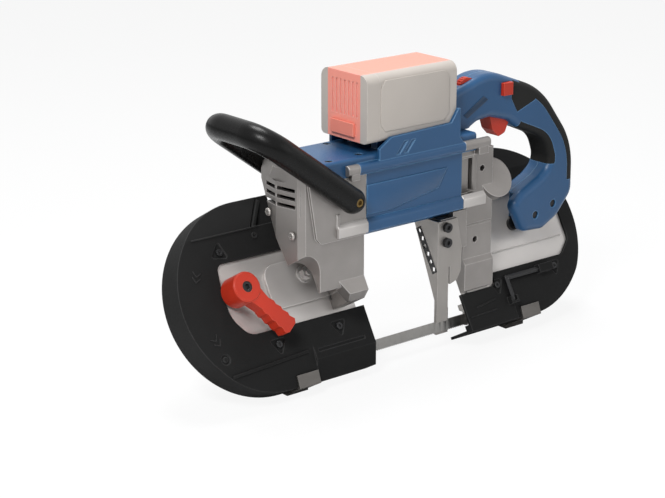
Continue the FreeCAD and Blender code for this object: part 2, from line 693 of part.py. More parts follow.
def guard_screws():
    screws = []
    for pockets, skin in ((FRONT_POCKETS, FRONT_SKIN), (REAR_POCKETS, REAR_SKIN)):
        for x, w, turn in pockets:
            screws.append(deck(socket_screw(x, w, skin - POCKET_DEPTH, SCREW_RADIUS, SCREW_HEIGHT)))
    return Part.makeCompound(screws)


def shoe(x_low, guard_radius, skin):
    """Steel shoe: a flat sole behind a guard's lower edge and a lip bent up its front."""
    x_high = x_low + SHOE_WIDTH
    low = CENTRE - guard_radius
    sole_top = low * SLOPE_UP.z + GUARD_BACK * SLOPE_OUT.z
    front = low * SLOPE_UP.y + GUARD_BACK * SLOPE_OUT.y - SHOE_LAP
    sole = box(x_low, x_high, front, front + SHOE_LENGTH, FLOOR, sole_top)
    under = low
    edge = skin - RIDGE_DROP
    slope = RIDGE_DROP / LOW_RIDGE_WIDTH
    tip = low + SHOE_LIP
    tip_n = edge + SHOE_LIP * slope
    strip = lengthwise([(under, GUARD_BACK), (under, edge), (tip, tip_n), (tip, tip_n + SHOE_THICK),
                        (under - SHOE_THICK, edge + SHOE_THICK), (under - SHOE_THICK, GUARD_BACK)],
                       0, x_low, x_high)
    far = BLADE_LENGTH
    strip = deck(strip).common(box(x_low, x_high, -far, far, FLOOR, far))
    return fuse([sole, strip])


def support_shoes():
    front = shoe(FRONT_SHOE_X, FRONT_GUARD_RADIUS, FRONT_SKIN)
    rear = shoe(REAR_SHOE_X, REAR_GUARD_RADIUS, REAR_SKIN)
    return Part.makeCompound([front, rear])


# Blade tension

def tension_carriage():
    bar = slab([(CARRIAGE_LEFT, CENTRE - CARRIAGE_HALF), (CARRIAGE_RIGHT, CENTRE - CARRIAGE_HALF),
                (CARRIAGE_RIGHT, CENTRE + CARRIAGE_HALF), (CAM_SIDE, CENTRE + CARRIAGE_HALF),
                (CAM_SIDE, CENTRE + CARRIAGE_HALF + 12), (CARRIAGE_LEFT, CENTRE + CARRIAGE_HALF + 12)],
               [4, 4, 4, 4, 4, 8], CARRIAGE_BACK, CARRIAGE_FRONT)
    throw = TENSION_TRAVEL / 2
    yoke_left = LEVER_X - throw - CAM_RADIUS - CAM_SLACK
    yoke_right = LEVER_X - throw + CAM_RADIUS + CAM_SLACK
    yoke_half = CAM_RADIUS + throw + CAM_SLACK
    yoke = box(yoke_left, yoke_right, LEVER_W - yoke_half, LEVER_W + yoke_half, CARRIAGE_BACK, CARRIAGE_FRONT)
    bar = bar.cut(yoke).cut(disc(0, CENTRE, CARRIAGE_BACK, CARRIAGE_FRONT, AXLE_RADIUS))
    tongue = box(CARRIAGE_TONGUE_LEFT, CARRIAGE_TONGUE_RIGHT, CENTRE - CARRIAGE_TONGUE_HALF,
                 CENTRE + CARRIAGE_TONGUE_HALF, CARRIAGE_FRONT, DECK_FACE + RUN_GAP)
    plate = slab([(SLIDE_PLATE_LEFT, CENTRE - 18), (SLIDE_PLATE_RIGHT, CENTRE - 18),
                  (SLIDE_PLATE_RIGHT, CENTRE + 26), (SLIDE_PLATE_LEFT, CENTRE + 26)],
                 [2, 2, 2, 14], DECK_FACE + RUN_GAP, DECK_FACE + RUN_GAP + SLIDE_PLATE_THICK)
    return deck(fuse([bar, tongue, plate]))


def tracking_bolt():
    seat = DECK_FACE + RUN_GAP + SLIDE_PLATE_THICK
    washer = disc(TRACKING_X, TRACKING_W, seat, seat + 1.6, 9)
    head = hexagon(TRACKING_X, TRACKING_W, seat + 1.6, seat + 7.6, 11)
    stud = disc(TRACKING_X, TRACKING_W, seat, seat + 10, 3)
    return deck(fuse([washer, head, stud]))


def lever_cam():
    cam = disc(LEVER_X - TENSION_TRAVEL / 2, LEVER_W, CARRIAGE_BACK, CARRIAGE_FRONT, CAM_RADIUS)
    pin = disc(LEVER_X, LEVER_W, CARRIAGE_BACK, DECK_FACE + LEVER_HUB_HEIGHT - 12, AXLE_RADIUS)
    return deck(fuse([cam, pin]))


def tension_lever():
    base = DECK_FACE + RUN_GAP
    top = DECK_FACE + LEVER_HUB_HEIGHT
    neck = disc(0, 0, base, FRONT_SKIN + RUN_GAP, LEVER_NECK_RADIUS)
    hub = disc(0, 0, FRONT_SKIN + RUN_GAP, top, LEVER_HUB_RADIUS)
    hub = hub.makeChamfer(1.2, [hub.Edges[0], hub.Edges[2]])
    arm_low = top - LEVER_THICK
    steps = 4
    root = 0.4 * LEVER_REACH
    half_root = 8.0
    half_tip = 9.0
    upper_side = [(0, half_root + 3), (root * 0.7, half_root)]
    lower_side = [(0, -half_root - 3), (root * 0.7, -half_root)]
    for i in range(steps):
        start = root + (LEVER_REACH - root) * i / steps
        end = root + (LEVER_REACH - root) * (i + 0.65) / steps
        half = half_root + (half_tip - half_root) * i / steps
        upper_side += [(start, half - 1), (end, half + 0.6)]
        lower_side += [(start, -half + 1), (end, -half - 0.6)]
    points = lower_side + [(LEVER_REACH, -half_tip + 3), (LEVER_REACH, half_tip - 3)] + upper_side[::-1]
    arm = slab(points, 0, arm_low, top - 1)
    lever = fuse([neck, hub, arm])
    lever = lever.cut(disc(0, 0, base, top - 12, AXLE_RADIUS))
    lever = lever.cut(disc(0, 0, top - 5, top, LEVER_SCREW_RADIUS))
    lever.rotate(Vector(0, 0, 0), Vector(0, 0, 1), LEVER_REST)
    lever.translate(Vector(LEVER_X, LEVER_W, 0))
    return deck(lever)


def lever_screw():
    top = DECK_FACE + LEVER_HUB_HEIGHT
    return deck(socket_screw(LEVER_X, LEVER_W, top - 5, LEVER_SCREW_RADIUS, 4.2))


# Gears and motor

def toothed_wire(teeth, pitch_radius, tip, root, phase, thick):
    """Closed toothed outline: thick holds the tooth's width at its root, pitch and tip."""
    points = []
    for i in range(teeth):
        middle = phase + 2 * math.pi * i / teeth
        flank = [(root, thick[0]), (pitch_radius, thick[1]), (tip, thick[2])]
        for radius, width in flank:
            points.append((radius, middle - width / (2 * radius)))
        for radius, width in flank[::-1]:
            points.append((radius, middle + width / (2 * radius)))
    corners = [Vector(r * math.cos(a), r * math.sin(a), 0) for r, a in points]
    return Part.makePolygon(corners + corners[:1])


def tooth_widths(module, addendum, dedendum):
    pitch_width = math.pi * module / 2 - BACKLASH
    slope = 2 * math.tan(math.radians(20))
    return [pitch_width + dedendum * slope, pitch_width, pitch_width - addendum * slope]


def spur(teeth, phase):
    addendum = 0.8 * GEAR_MODULE
    dedendum = 1.15 * GEAR_MODULE
    radius = GEAR_MODULE * teeth / 2
    widths = tooth_widths(GEAR_MODULE, addendum, dedendum)
    wire = toothed_wire(teeth, radius, radius + addendum, radius - dedendum, phase, widths)
    return Part.Face(wire).extrude(Vector(0, 0, GEAR_THICK))


def mesh_angle():
    """Direction from the drive shaft to the layshaft, in the deck."""
    return math.atan2(MOTOR_W - CENTRE, LAYSHAFT_X - SPAN)


def drive_gear():
    gear = spur(GEAR_TEETH, mesh_angle() + math.pi / GEAR_TEETH)
    gear = gear.cut(disc(0, 0, 0, GEAR_THICK, DRIVE_SHAFT_RADIUS))
    gear.translate(Vector(SPAN, CENTRE, GEAR_BACK))
    return deck(gear)


def bevel(teeth, mate_teeth, phase):
    """Straight bevel gear with its cone's point at the origin and its large end at negative Z."""
    radius = BEVEL_MODULE * teeth / 2
    depth = BEVEL_MODULE * mate_teeth / 2
    cone = math.atan2(radius, depth)
    slant = math.hypot(radius, depth)
    addendum = 0.7 * BEVEL_MODULE
    dedendum = 1.15 * BEVEL_MODULE
    tip = depth * math.tan(cone + math.atan(addendum / slant))
    root = depth * math.tan(cone - math.atan(dedendum / slant))
    widths = tooth_widths(BEVEL_MODULE, addendum, dedendum)
    large = toothed_wire(teeth, radius, tip, root, phase, widths)
    large.translate(Vector(0, 0, -depth))
    small = large.copy()
    small.scale(BEVEL_FACE, Vector(0, 0, 0))
    return Part.makeLoft([large, small], True, True)


def bevel_pitch(teeth):
    return BEVEL_MODULE * teeth / 2


def bevel_gear():
    gear = bevel(BEVEL_GEAR_TEETH, BEVEL_TEETH, math.pi + math.pi / BEVEL_GEAR_TEETH)
    back = -bevel_pitch(BEVEL_TEETH)
    hub = disc(0, 0, back - BEVEL_HUB, back, LAYSHAFT_RADIUS + 4)
    gear = fuse([gear, hub]).cut(disc(0, 0, back - BEVEL_HUB, 0, LAYSHAFT_RADIUS))
    gear.translate(Vector(LAYSHAFT_X, MOTOR_W, MOTOR_N))
    return deck(gear)


def layshaft():
    pinion = spur(PINION_TEETH, mesh_angle() + math.pi)
    pinion.translate(Vector(LAYSHAFT_X, MOTOR_W, GEAR_BACK))
    top = MOTOR_N - bevel_pitch(BEVEL_TEETH) * BEVEL_FACE
    shank = disc(LAYSHAFT_X, MOTOR_W, GEAR_BACK, top, LAYSHAFT_RADIUS)
    return deck(fuse([pinion, shank]))


def motor_point(x):
    return Vector(x, MOTOR_Y, MOTOR_Z)


def bevel_pinion():
    pinion = bevel(BEVEL_TEETH, BEVEL_GEAR_TEETH, 0)
    back = -bevel_pitch(BEVEL_GEAR_TEETH)
    hub = disc(0, 0, back - PINION_HUB, back, MOTOR_SHAFT_RADIUS + 2)
    pinion = fuse([pinion, hub]).cut(disc(0, 0, back - PINION_HUB, back, MOTOR_SHAFT_RADIUS))
    pinion.rotate(Vector(0, 0, 0), Vector(0, 1, 0), 90)
    pinion.translate(Vector(LAYSHAFT_X, MOTOR_W, MOTOR_N))
    return deck(pinion)


def rotor():
    shaft = rod(motor_point(SHAFT_LEFT), motor_point(PINION_BACK), MOTOR_SHAFT_RADIUS)
    core = rod(motor_point(STATOR_LEFT + 2), motor_point(STATOR_LEFT + STATOR_LENGTH - 2), ROTOR_RADIUS)
    return fuse([shaft, core])


def cooling_fan():
    plate = rod(motor_point(FAN_LEFT + FAN_WIDTH - 2), motor_point(FAN_LEFT + FAN_WIDTH), FAN_RADIUS)
    hub = rod(motor_point(FAN_LEFT), motor_point(FAN_LEFT + FAN_WIDTH), MOTOR_SHAFT_RADIUS + 3)
    pieces = [plate, hub]
    for i in range(FAN_BLADES):
        vane = box(FAN_LEFT, FAN_LEFT + FAN_WIDTH - 1, MOTOR_Y - 0.75, MOTOR_Y + 0.75,
                   MOTOR_Z + MOTOR_SHAFT_RADIUS + 1, MOTOR_Z + FAN_RADIUS - 0.5)
        vane.rotate(motor_point(0), Vector(1, 0, 0), 360 * i / FAN_BLADES)
        pieces.append(vane)
    shaft = rod(motor_point(FAN_LEFT), motor_point(FAN_LEFT + FAN_WIDTH), MOTOR_SHAFT_RADIUS)
    return fuse(pieces).cut(shaft)


def stator():
    left = motor_point(STATOR_LEFT)
    right = motor_point(STATOR_LEFT + STATOR_LENGTH)
    return tube(left, right, STATOR_RADIUS, ROTOR_RADIUS + 0.5)


def shaft_bearings():
    motor_front = SHAFT_LEFT + 0.5
    motor_rear = COLUMN_LEFT + 1
    bearings = []
    for x in (motor_front, motor_rear):
        bearings.append(tube(motor_point(x), motor_point(x + MOTOR_BEARING_WIDTH),
                             MOTOR_BEARING_RADIUS, MOTOR_SHAFT_RADIUS + SHAFT_GAP))
    deck_top = REAR_DECK_BACK + SHAFT_BEARING_WIDTH
    bearings.append(deck(ring(SPAN, CENTRE, REAR_DECK_BACK, deck_top, BEARING_RADIUS,
                              DRIVE_SHAFT_RADIUS + SHAFT_GAP)))
    bearings.append(deck(ring(LAYSHAFT_X, MOTOR_W, REAR_DECK_BACK, deck_top, BEARING_RADIUS,
                              LAYSHAFT_RADIUS + SHAFT_GAP)))
    lay_top = LAY_BEARING_LOW + BEARING_WIDTH
    bearings.append(deck(ring(LAYSHAFT_X, MOTOR_W, LAY_BEARING_LOW, lay_top, BEARING_RADIUS,
                              LAYSHAFT_RADIUS + SHAFT_GAP)))
    return Part.makeCompound(bearings)


def shaft_screw():
    return deck(socket_screw(SPAN + SHAFT_SCREW_SIDE, CENTRE + SHAFT_SCREW_RISE, REAR_FACE, 7, 4))


# Castings

def head_solid():
    """Hood, leg and side panel of the head before anything is cut out of them."""
    far = BLADE_LENGTH
    plan = [(HEAD_RIGHT, LEG_SIDE), (HEAD_LEFT + 6, LEG_SIDE), (HEAD_LEFT + 1, LEG_SIDE + 6),
            (HEAD_LEFT - 4, BODY_MIDDLE + 2), (HEAD_LEFT + 2, BODY_REAR - 2), (HEAD_RIGHT, BODY_REAR - 2)]
    hood = slab(plan, 0, 40, HEAD_TOP)
    hood = hood.cut(box(COVER_LEFT, far, -far, far, BODY_TOP, far))
    crown = lengthwise([(BODY_REAR - 10, HEAD_TOP), (BODY_REAR, HEAD_TOP - 14), (BODY_REAR, HEAD_TOP)],
                       0, -far, COVER_LEFT)
    hood = hood.cut(crown)
    hood = hood.cut(deck(box(-far, LEG_LEFT, -far, far, -far, HOOD_BACK_N)))
    hood = hood.cut(deck(box(-far, far, -far, LEG_LOW, -far, far)))
    hood = hood.cut(deck(box(-far, far, -far, far, -far, DECK_FACE)))
    panel = upright([(HEAD_LEFT + 8, BODY_TOP), (HEAD_LEFT + 17, 134), (HEAD_LEFT + 22, 128),
                     (HEAD_RIGHT, 128), (HEAD_RIGHT, BODY_TOP)], [0, 4, 4, 0, 0], BODY_FRONT, LEG_SIDE)
    rib = upright([(51, 140), (HEAD_RIGHT, 140), (HEAD_RIGHT, 143.5), (54.5, 143.5), (54.5, 154),
                   (51, 154)], 0, BODY_FRONT - 1.2, BODY_FRONT)
    block = slab([(BLOCK_LEFT, BLOCK_LOW), (HEAD_RIGHT, BLOCK_LOW), (HEAD_RIGHT, BLOCK_HIGH),
                  (BLOCK_LEFT - BLOCK_SLANT, BLOCK_HIGH)], [BLOCK_ROUND, 0, 0, 0], BLOCK_BACK, BLOCK_FRONT)
    foot = box(BLOCK_FOOT, HEAD_RIGHT, BLOCK_LOW, BLOCK_HIGH, DECK_FACE, BLOCK_BACK)
    bevel_cut = lengthwise([(BLOCK_LOW, BLOCK_FRONT), (BLOCK_LOW, BLOCK_FRONT - BLOCK_UNDERCUT),
                            (BLOCK_LOW + BLOCK_BEVEL, BLOCK_FRONT)], 0, BLOCK_LEFT - BLOCK_SLANT, HEAD_RIGHT)
    block = deck(fuse([block.cut(bevel_cut), foot]))
    far_lug = box(BAIL_BOLT_X - 14, BAIL_BOLT_X + 14, BODY_REAR - 2, BODY_REAR, 150, BODY_TOP)
    rail = rail_bar(RAIL_LEFT, RAIL_BLUE_LEFT)
    rail_foot = box(RAIL_LEFT + 4, RAIL_BLUE_LEFT, BODY_FRONT - RAIL_PROUD + 1, BODY_FRONT, BODY_TOP - 3,
                    BODY_TOP + 6)
    return fuse([hood, panel, rib, block, far_lug, rail, rail_foot])


def rail_bar(x_low, x_high):
    """Near side rail along the top of the body, rounded on its outer side."""
    front = BODY_FRONT - RAIL_PROUD
    low = BODY_TOP + 2
    high = low + RAIL_HEIGHT
    return lengthwise([(front, low), (BODY_FRONT, low), (BODY_FRONT, high), (front, high)],
                      [4, 0, 0, 4], x_low, x_high)


def motor_head():
    head = head_solid()
    plate_room = box(SLIDE_PLATE_LEFT - 4, SLIDE_PLATE_RIGHT + TENSION_TRAVEL + 1, 55, CENTRE + 27,
                     DECK_FACE, DECK_FACE + RUN_GAP + SLIDE_PLATE_THICK + 0.8)
    head = head.cut(deck(plate_room))
    bolt_x = TRACKING_X + 2
    bolt_room = disc(bolt_x, TRACKING_W, DECK_FACE, HOOD_BACK_N, BOLT_ROOM_RADIUS)
    below = box(bolt_x - BOLT_ROOM_RADIUS, bolt_x + BOLT_ROOM_RADIUS, LEG_LOW, TRACKING_W, DECK_FACE,
                HOOD_BACK_N)
    arch = disc(ARCH_X, ARCH_W, DECK_FACE, 2 * HOOD_BACK_N, ARCH_RADIUS)
    under_arch = box(ARCH_X - 40, ARCH_X + ARCH_RADIUS, 0, ARCH_W, DECK_FACE, 2 * HOOD_BACK_N)
    for room in (bolt_room, below, arch, under_arch):
        head = head.cut(deck(room))
    chamber = box(HEAD_LEFT + 3, HEAD_RIGHT - 5, LEG_SIDE + HEAD_WALL, BODY_REAR - 6, MOTOR_Z + 15,
                  BODY_TOP - HEAD_WALL)
    far = BLADE_LENGTH
    behind = deck(box(-far, LEG_LEFT + HEAD_WALL, -far, far, -far, HOOD_BACK_N + HEAD_WALL))
    head = head.cut(chamber.cut(behind))
    bore_left = SHAFT_LEFT + 1 + MOTOR_BEARING_WIDTH
    head = head.cut(rod(motor_point(bore_left + 2), motor_point(HEAD_RIGHT), FAN_RADIUS + 2))
    head = head.cut(rod(motor_point(SHAFT_LEFT + 0.5), motor_point(bore_left + 2), MOTOR_BEARING_RADIUS))
    head = head.cut(rod(motor_point(SHAFT_LEFT - 1), motor_point(bore_left), MOTOR_SHAFT_RADIUS + 1))
    for i in range(VENT_ROWS):
        z = BODY_TOP - 4.5 - VENT_PITCH * i
        for y_low, y_high in ((LEG_SIDE + 9, BODY_MIDDLE + 1), (BODY_MIDDLE + 3, BODY_REAR - 12)):
            head = head.cut(box(0, HEAD_LEFT + 8, y_low, y_high, z - VENT_HEIGHT, z))
    dent = lengthwise([(-4, BODY_TOP), (30, BODY_TOP), (22, HEAD_TOP - 4), (4, HEAD_TOP - 4)], 0, 0,
                      HEAD_LEFT - 1.5)
    head = head.cut(dent)
    for y in (BODY_FRONT, BODY_REAR):
        hole = rod(Vector(BAIL_BOLT_X, y - 8, BAIL_BOLT_Z), Vector(BAIL_BOLT_X, y + 8, BAIL_BOLT_Z), 4)
        head = head.cut(hole)
    for shank in head_screw_shanks():
        head = head.cut(shank)
    return head


def head_screw_seat(y):
    """Front of the hood at a distance across it: the hood's front comes to a point in its middle."""
    return HEAD_LEFT - 4 + abs(y - BODY_MIDDLE - 2) * 0.22


def head_screw_shanks():
    shanks = []
    for y, z in HEAD_SCREWS:
        seat = head_screw_seat(y)
        shanks.append(rod(Vector(seat + 6, y, z), Vector(seat - 1.5, y, z), HEAD_SCREW_RADIUS / 2))
    return shanks


def head_screws():
    screws = []
    for (y, z), shank in zip(HEAD_SCREWS, head_screw_shanks()):
        seat = head_screw_seat(y) - 1.5
        head = rod(Vector(seat, y, z), Vector(seat - 3, y, z), HEAD_SCREW_RADIUS)
        screws.append(fuse([shank, head]))
    return Part.makeCompound(screws)


def gear_case():
    far = BLADE_LENGTH
    column = box(COLUMN_LEFT, COLUMN_RIGHT, COLUMN_FRONT, COLUMN_REAR, COLUMN_FOOT, COLUMN_TOP)
    ledge = lengthwise([(COLUMN_FRONT, COLUMN_FOOT), (COLUMN_FRONT, LEDGE_Z + LEDGE_SLOPE),
                        (COLUMN_FRONT - LEDGE_PROUD, LEDGE_Z), (COLUMN_FRONT - LEDGE_PROUD, COLUMN_FOOT)],
                       0, COLUMN_LEFT, COLUMN_RIGHT)
    collar = lengthwise(body_outline(BODY_WALL), [0, 4, 6, 6, 4, 0], HOUSING_RIGHT, COLUMN_LEFT)
    collar = collar.cut(box(HOUSING_RIGHT, COLUMN_LEFT, BODY_FRONT, COLLAR_FRONT, BODY_SIDE_LOW + 2, BODY_TOP - 8))
    shelf = box(HOUSING_RIGHT, COLUMN_LEFT + 14, BODY_FRONT + 2, BODY_REAR - 2, COLUMN_TOP - 0.5, BODY_TOP)
    rail = rail_bar(HOUSING_RIGHT, RAIL_RIGHT)
    rail_foot = box(COLUMN_LEFT, RAIL_RIGHT - 2, BODY_FRONT - RAIL_PROUD + 1, BODY_FRONT + 4,
                    COLUMN_TOP + 1, BODY_TOP + 5)
    low_rail = low_rail_bar(HOUSING_RIGHT, RAIL_RIGHT - 3)
    low_link = box(HOUSING_RIGHT, RAIL_RIGHT - 5, BODY_FRONT, COLUMN_FRONT, BODY_SIDE_LOW - 7,
                   BODY_SIDE_LOW + 1)
    lug = box(STOP_X + STOP_THICK + 3, COLUMN_LEFT, STOP_FRONT + STOP_THICK, 14, 84, BODY_LOW - RUN_GAP)
    lug_link = box(HOUSING_RIGHT, COLUMN_LEFT, STOP_FRONT + STOP_THICK, 14, 100, BODY_LOW + 5)
    dome_top = MOTOR_N + DOME_RISE
    dome = deck(disc(LAYSHAFT_X, MOTOR_W, REAR_FACE, dome_top, DOME_RADIUS))
    case = fuse([column, ledge, collar, shelf, rail, rail_foot, low_rail, low_link, lug, lug_link, dome])
    case = case.cut(deck(box(-far, far, -far, far, -far, REAR_FACE)))
    case = case.cut(deck(box(-far, far, -far, 26, -far, far)))
    case = case.cut(rod(motor_point(HOUSING_RIGHT), motor_point(COLUMN_LEFT), STATOR_RADIUS - 2))
    case = case.cut(rod(motor_point(COLUMN_LEFT + COLUMN_WALL), motor_point(LAYSHAFT_X), 10))
    case = case.cut(rod(motor_point(COLUMN_LEFT), motor_point(COLUMN_LEFT + 1 + MOTOR_BEARING_WIDTH),
                        MOTOR_BEARING_RADIUS))
    case = case.cut(rod(motor_point(COLUMN_LEFT), motor_point(LAYSHAFT_X), MOTOR_SHAFT_RADIUS + 1))
    lay_top = LAY_BEARING_LOW + BEARING_WIDTH
    case = case.cut(deck(disc(LAYSHAFT_X, MOTOR_W, lay_top, MOTOR_N + DOME_INSIDE, DOME_RADIUS - CASE_WALL)))
    case = case.cut(deck(disc(LAYSHAFT_X, MOTOR_W, LAY_BEARING_LOW, lay_top, BEARING_RADIUS)))
    case = case.cut(deck(disc(LAYSHAFT_X, MOTOR_W, REAR_FACE, lay_top, LAYSHAFT_RADIUS + 1)))
    for x, z in COLUMN_HOLES:
        hole = rod(Vector(x, COLUMN_FRONT, z), Vector(x, COLUMN_FRONT + COLUMN_HOLE_DEPTH, z), COLUMN_HOLE_RADIUS)
        case = case.cut(hole)
    groove = box(COLUMN_LEFT, COLUMN_RIGHT, COLUMN_FRONT, COLUMN_FRONT + 1.2, 103, 105)
    return case.cut(groove)


def low_rail_bar(x_low, x_high):
    """Near side bead along the lower edge of the body."""
    front = BODY_FRONT - 3
    low = BODY_SIDE_LOW - 9
    high = BODY_SIDE_LOW + 2
    return lengthwise([(front, low), (BODY_FRONT + 3, low), (BODY_FRONT + 3, high), (front, high)],
                      [3, 0, 0, 3], x_low, x_high)


# Housing, top cover and what they hold

def body_outline(inset):
    front = BODY_FRONT + inset
    rear = BODY_REAR - inset
    low = BODY_LOW + inset
    return [(front, BODY_TOP), (front, BODY_SIDE_LOW), (front + 20, low), (rear - 14, low),
            (rear, BODY_SIDE_LOW - 8), (rear, BODY_TOP)]


def body_tube():
    outer = lengthwise(body_outline(0), [0, 6, 8, 8, 6, 0], HEAD_RIGHT, HOUSING_RIGHT)
    inner = lengthwise(body_outline(BODY_WALL), [0, 4, 6, 6, 4, 0], HEAD_RIGHT, HOUSING_RIGHT)
    saddle_left = STATOR_LEFT + 4
    saddle_right = STATOR_LEFT + STATOR_LENGTH - 8
    saddles = []
    for x in (saddle_left, saddle_right):
        rib = inner.common(box(x, x + 4, BODY_FRONT, BODY_REAR, BODY_LOW, MOTOR_Z + STATOR_RADIUS + 4))
        saddles.append(rib.cut(rod(motor_point(x), motor_point(x + 4), STATOR_RADIUS)))
    return fuse([outer.cut(inner)] + saddles)


def housing_front():
    bead = low_rail_bar(HEAD_RIGHT, HOUSING_RIGHT)
    inner = lengthwise(body_outline(BODY_WALL), [0, 4, 6, 6, 4, 0], HEAD_RIGHT, HOUSING_RIGHT)
    shell = body_tube().cut(box(0, COLUMN_RIGHT, BODY_MIDDLE, BODY_REAR + 5, 0, COVER_TOP))
    return fuse([shell, bead.cut(inner)])


def housing_rear():
    return body_tube().cut(box(0, COLUMN_RIGHT, BODY_FRONT - 5, BODY_MIDDLE, 0, COVER_TOP))


def top_cover():
    plate = lengthwise([(BODY_FRONT, BODY_TOP), (BODY_REAR, BODY_TOP), (BODY_REAR, COVER_TOP),
                        (BODY_FRONT, COVER_TOP)], [0, 0, 3, 3], COVER_LEFT, COLUMN_LEFT)
    hollow = box(COVER_LEFT + BODY_WALL, COLUMN_LEFT - BODY_WALL, BODY_FRONT + BODY_WALL,
                 BODY_REAR - BODY_WALL, BODY_TOP + BODY_WALL, COVER_TOP - BODY_WALL)
    pieces = [plate.cut(hollow)]
    wall_top = COVER_TOP + CRADLE_HIGH
    neck_left = HANDLE_LINE[0][0] - 1
    points = [(CRADLE_LEFT, BODY_TOP + 8), (CRADLE_LEFT, COVER_TOP + 5), (CRADLE_LEFT + 15, wall_top),
              (neck_left - 12, wall_top + 2), (neck_left - 3, wall_top + 15), (neck_left, wall_top + 15),
              (neck_left, COVER_TOP), (HOUSING_RIGHT, BODY_TOP + 10), (HOUSING_RIGHT, BODY_TOP + 4)]
    wall_front = BATTERY_FRONT - RUN_GAP - CRADLE_WALL
    wall_rear = BATTERY_REAR + RUN_GAP + CRADLE_WALL
    pieces.append(upright(points, 0, wall_front, wall_front + CRADLE_WALL))
    pieces.append(upright(points, 0, wall_rear - CRADLE_WALL, wall_rear))
    for low, high in ((min(wall_front, BODY_FRONT), BODY_FRONT + BODY_WALL),
                      (BODY_REAR - BODY_WALL, max(wall_rear, BODY_REAR))):
        pieces.append(box(CRADLE_LEFT, HOUSING_RIGHT, low, high, BODY_TOP + 8, BODY_TOP + 11))
    pieces.append(rail_bar(RAIL_BLUE_LEFT, HOUSING_RIGHT))
    pieces.append(box(RAIL_BLUE_LEFT, HOUSING_RIGHT, BODY_REAR - 1, BODY_REAR + RAIL_PROUD, BODY_TOP + 2,
                      BODY_TOP + 2 + RAIL_HEIGHT))
    for y in (BODY_MIDDLE - 22, BODY_MIDDLE + 14):
        pieces.append(box(CRADLE_LEFT + 10, neck_left - 4, y, y + 8, COVER_TOP - 1,
                          BATTERY_LOW - RUN_GAP))
    cover = fuse(pieces)
    for x, y in COVER_SCREWS:
        cover = cover.cut(rod(Vector(x, y, COVER_TOP - 2.5), Vector(x, y, COVER_TOP), SCREW_RADIUS + 0.6))
    for left in SLASHES:
        slash = upright([(left, BODY_TOP + 14), (left + 5, BODY_TOP + 14), (left + 15, COVER_TOP + 8),
                         (left + 10, COVER_TOP + 8)], 0, wall_front, wall_front + 1)
        cover = cover.cut(slash)
    return cover


def cover_screws():
    screws = []
    for x, y in COVER_SCREWS:
        seat = COVER_TOP - 2.5
        screw = rod(Vector(x, y, seat), Vector(x, y, seat + 2), SCREW_RADIUS)
        screws.append(screw.cut(hexagon(x, y, seat + 1, seat + 2, SCREW_RADIUS)))
    return Part.makeCompound(screws)


def control_board():
    top = BODY_TOP - 5
    board = box(BOARD_LEFT, BOARD_RIGHT, BODY_FRONT + BOARD_SIDE, BODY_REAR - BOARD_SIDE, top - BOARD_THICK, top)
    pieces = [board]
    for x in (BOARD_LEFT + BOARD_POST, BOARD_RIGHT - BOARD_POST):
        for y in (BODY_FRONT + BOARD_SIDE + BOARD_POST, BODY_REAR - BOARD_SIDE - BOARD_POST):
            pieces.append(rod(Vector(x, y, top), Vector(x, y, BODY_TOP), 3))
    for i in range(3):
        left = BOARD_LEFT + 18 + 22 * i
        pieces.append(box(left, left + 16, BODY_MIDDLE - 8, BODY_MIDDLE + 8, top - 9, top - BOARD_THICK))
    return fuse(pieces)


def terminal_block():
    right = COLUMN_LEFT - 32
    block = box(right - 32, right, BODY_MIDDLE - 13, BODY_MIDDLE + 13, COVER_TOP, BATTERY_LOW - 1)
    for i in range(4):
        y = BODY_MIDDLE - 10 + 6 * i
        block = block.cut(box(right - 33, right - 6, y, y + 2, COVER_TOP + 3, BATTERY_LOW))
    return block


# Battery

def battery_shell(x_low, x_high):
    outer = lengthwise([(BATTERY_FRONT, BATTERY_LOW), (BATTERY_REAR, BATTERY_LOW),
                        (BATTERY_REAR, BATTERY_LOW + BATTERY_HEIGHT),
                        (BATTERY_FRONT, BATTERY_LOW + BATTERY_HEIGHT)], [5, 5, 10, 10], x_low, x_high)
    wall = BATTERY_WALL
    inner = box(x_low + wall, x_high - wall, BATTERY_FRONT + wall, BATTERY_REAR - wall,
                BATTERY_LOW + wall + 2, BATTERY_LOW + BATTERY_HEIGHT - wall - 2)
    return outer, inner


def battery_case():
    left = BATTERY_LEFT + BATTERY_CAP
    outer, inner = battery_shell(left, BATTERY_LEFT + BATTERY_LENGTH)
    return outer.cut(inner)


def battery_cap():
    outer, inner = battery_shell(BATTERY_LEFT, BATTERY_LEFT + BATTERY_CAP)
    ribs = 7
    pitch = BATTERY_WIDTH * 0.62 / ribs
    for i in range(ribs):
        y = BATTERY_FRONT + BATTERY_WIDTH * 0.2 + pitch * i
        rib_cut = box(BATTERY_LEFT, BATTERY_LEFT + 1.6, y, y + pitch * 0.45, BATTERY_LOW + 24,
                      BATTERY_LOW + BATTERY_HEIGHT - 8)
        outer = outer.cut(rib_cut)
    room = box(BATTERY_LEFT, BATTERY_LEFT + BATTERY_BUTTON_DEPTH + BUTTON_TRAVEL,
               BODY_MIDDLE - BATTERY_BUTTON_HALF - SLIDE_GAP, BODY_MIDDLE + BATTERY_BUTTON_HALF + SLIDE_GAP,
               BATTERY_LOW + 5 - SLIDE_GAP, BATTERY_LOW + 18 + SLIDE_GAP)
    return outer.cut(room)


def battery_button():
    return box(BATTERY_LEFT - 3, BATTERY_LEFT + BATTERY_BUTTON_DEPTH - 0.5, BODY_MIDDLE - BATTERY_BUTTON_HALF,
               BODY_MIDDLE + BATTERY_BUTTON_HALF, BATTERY_LOW + 5, BATTERY_LOW + 18)


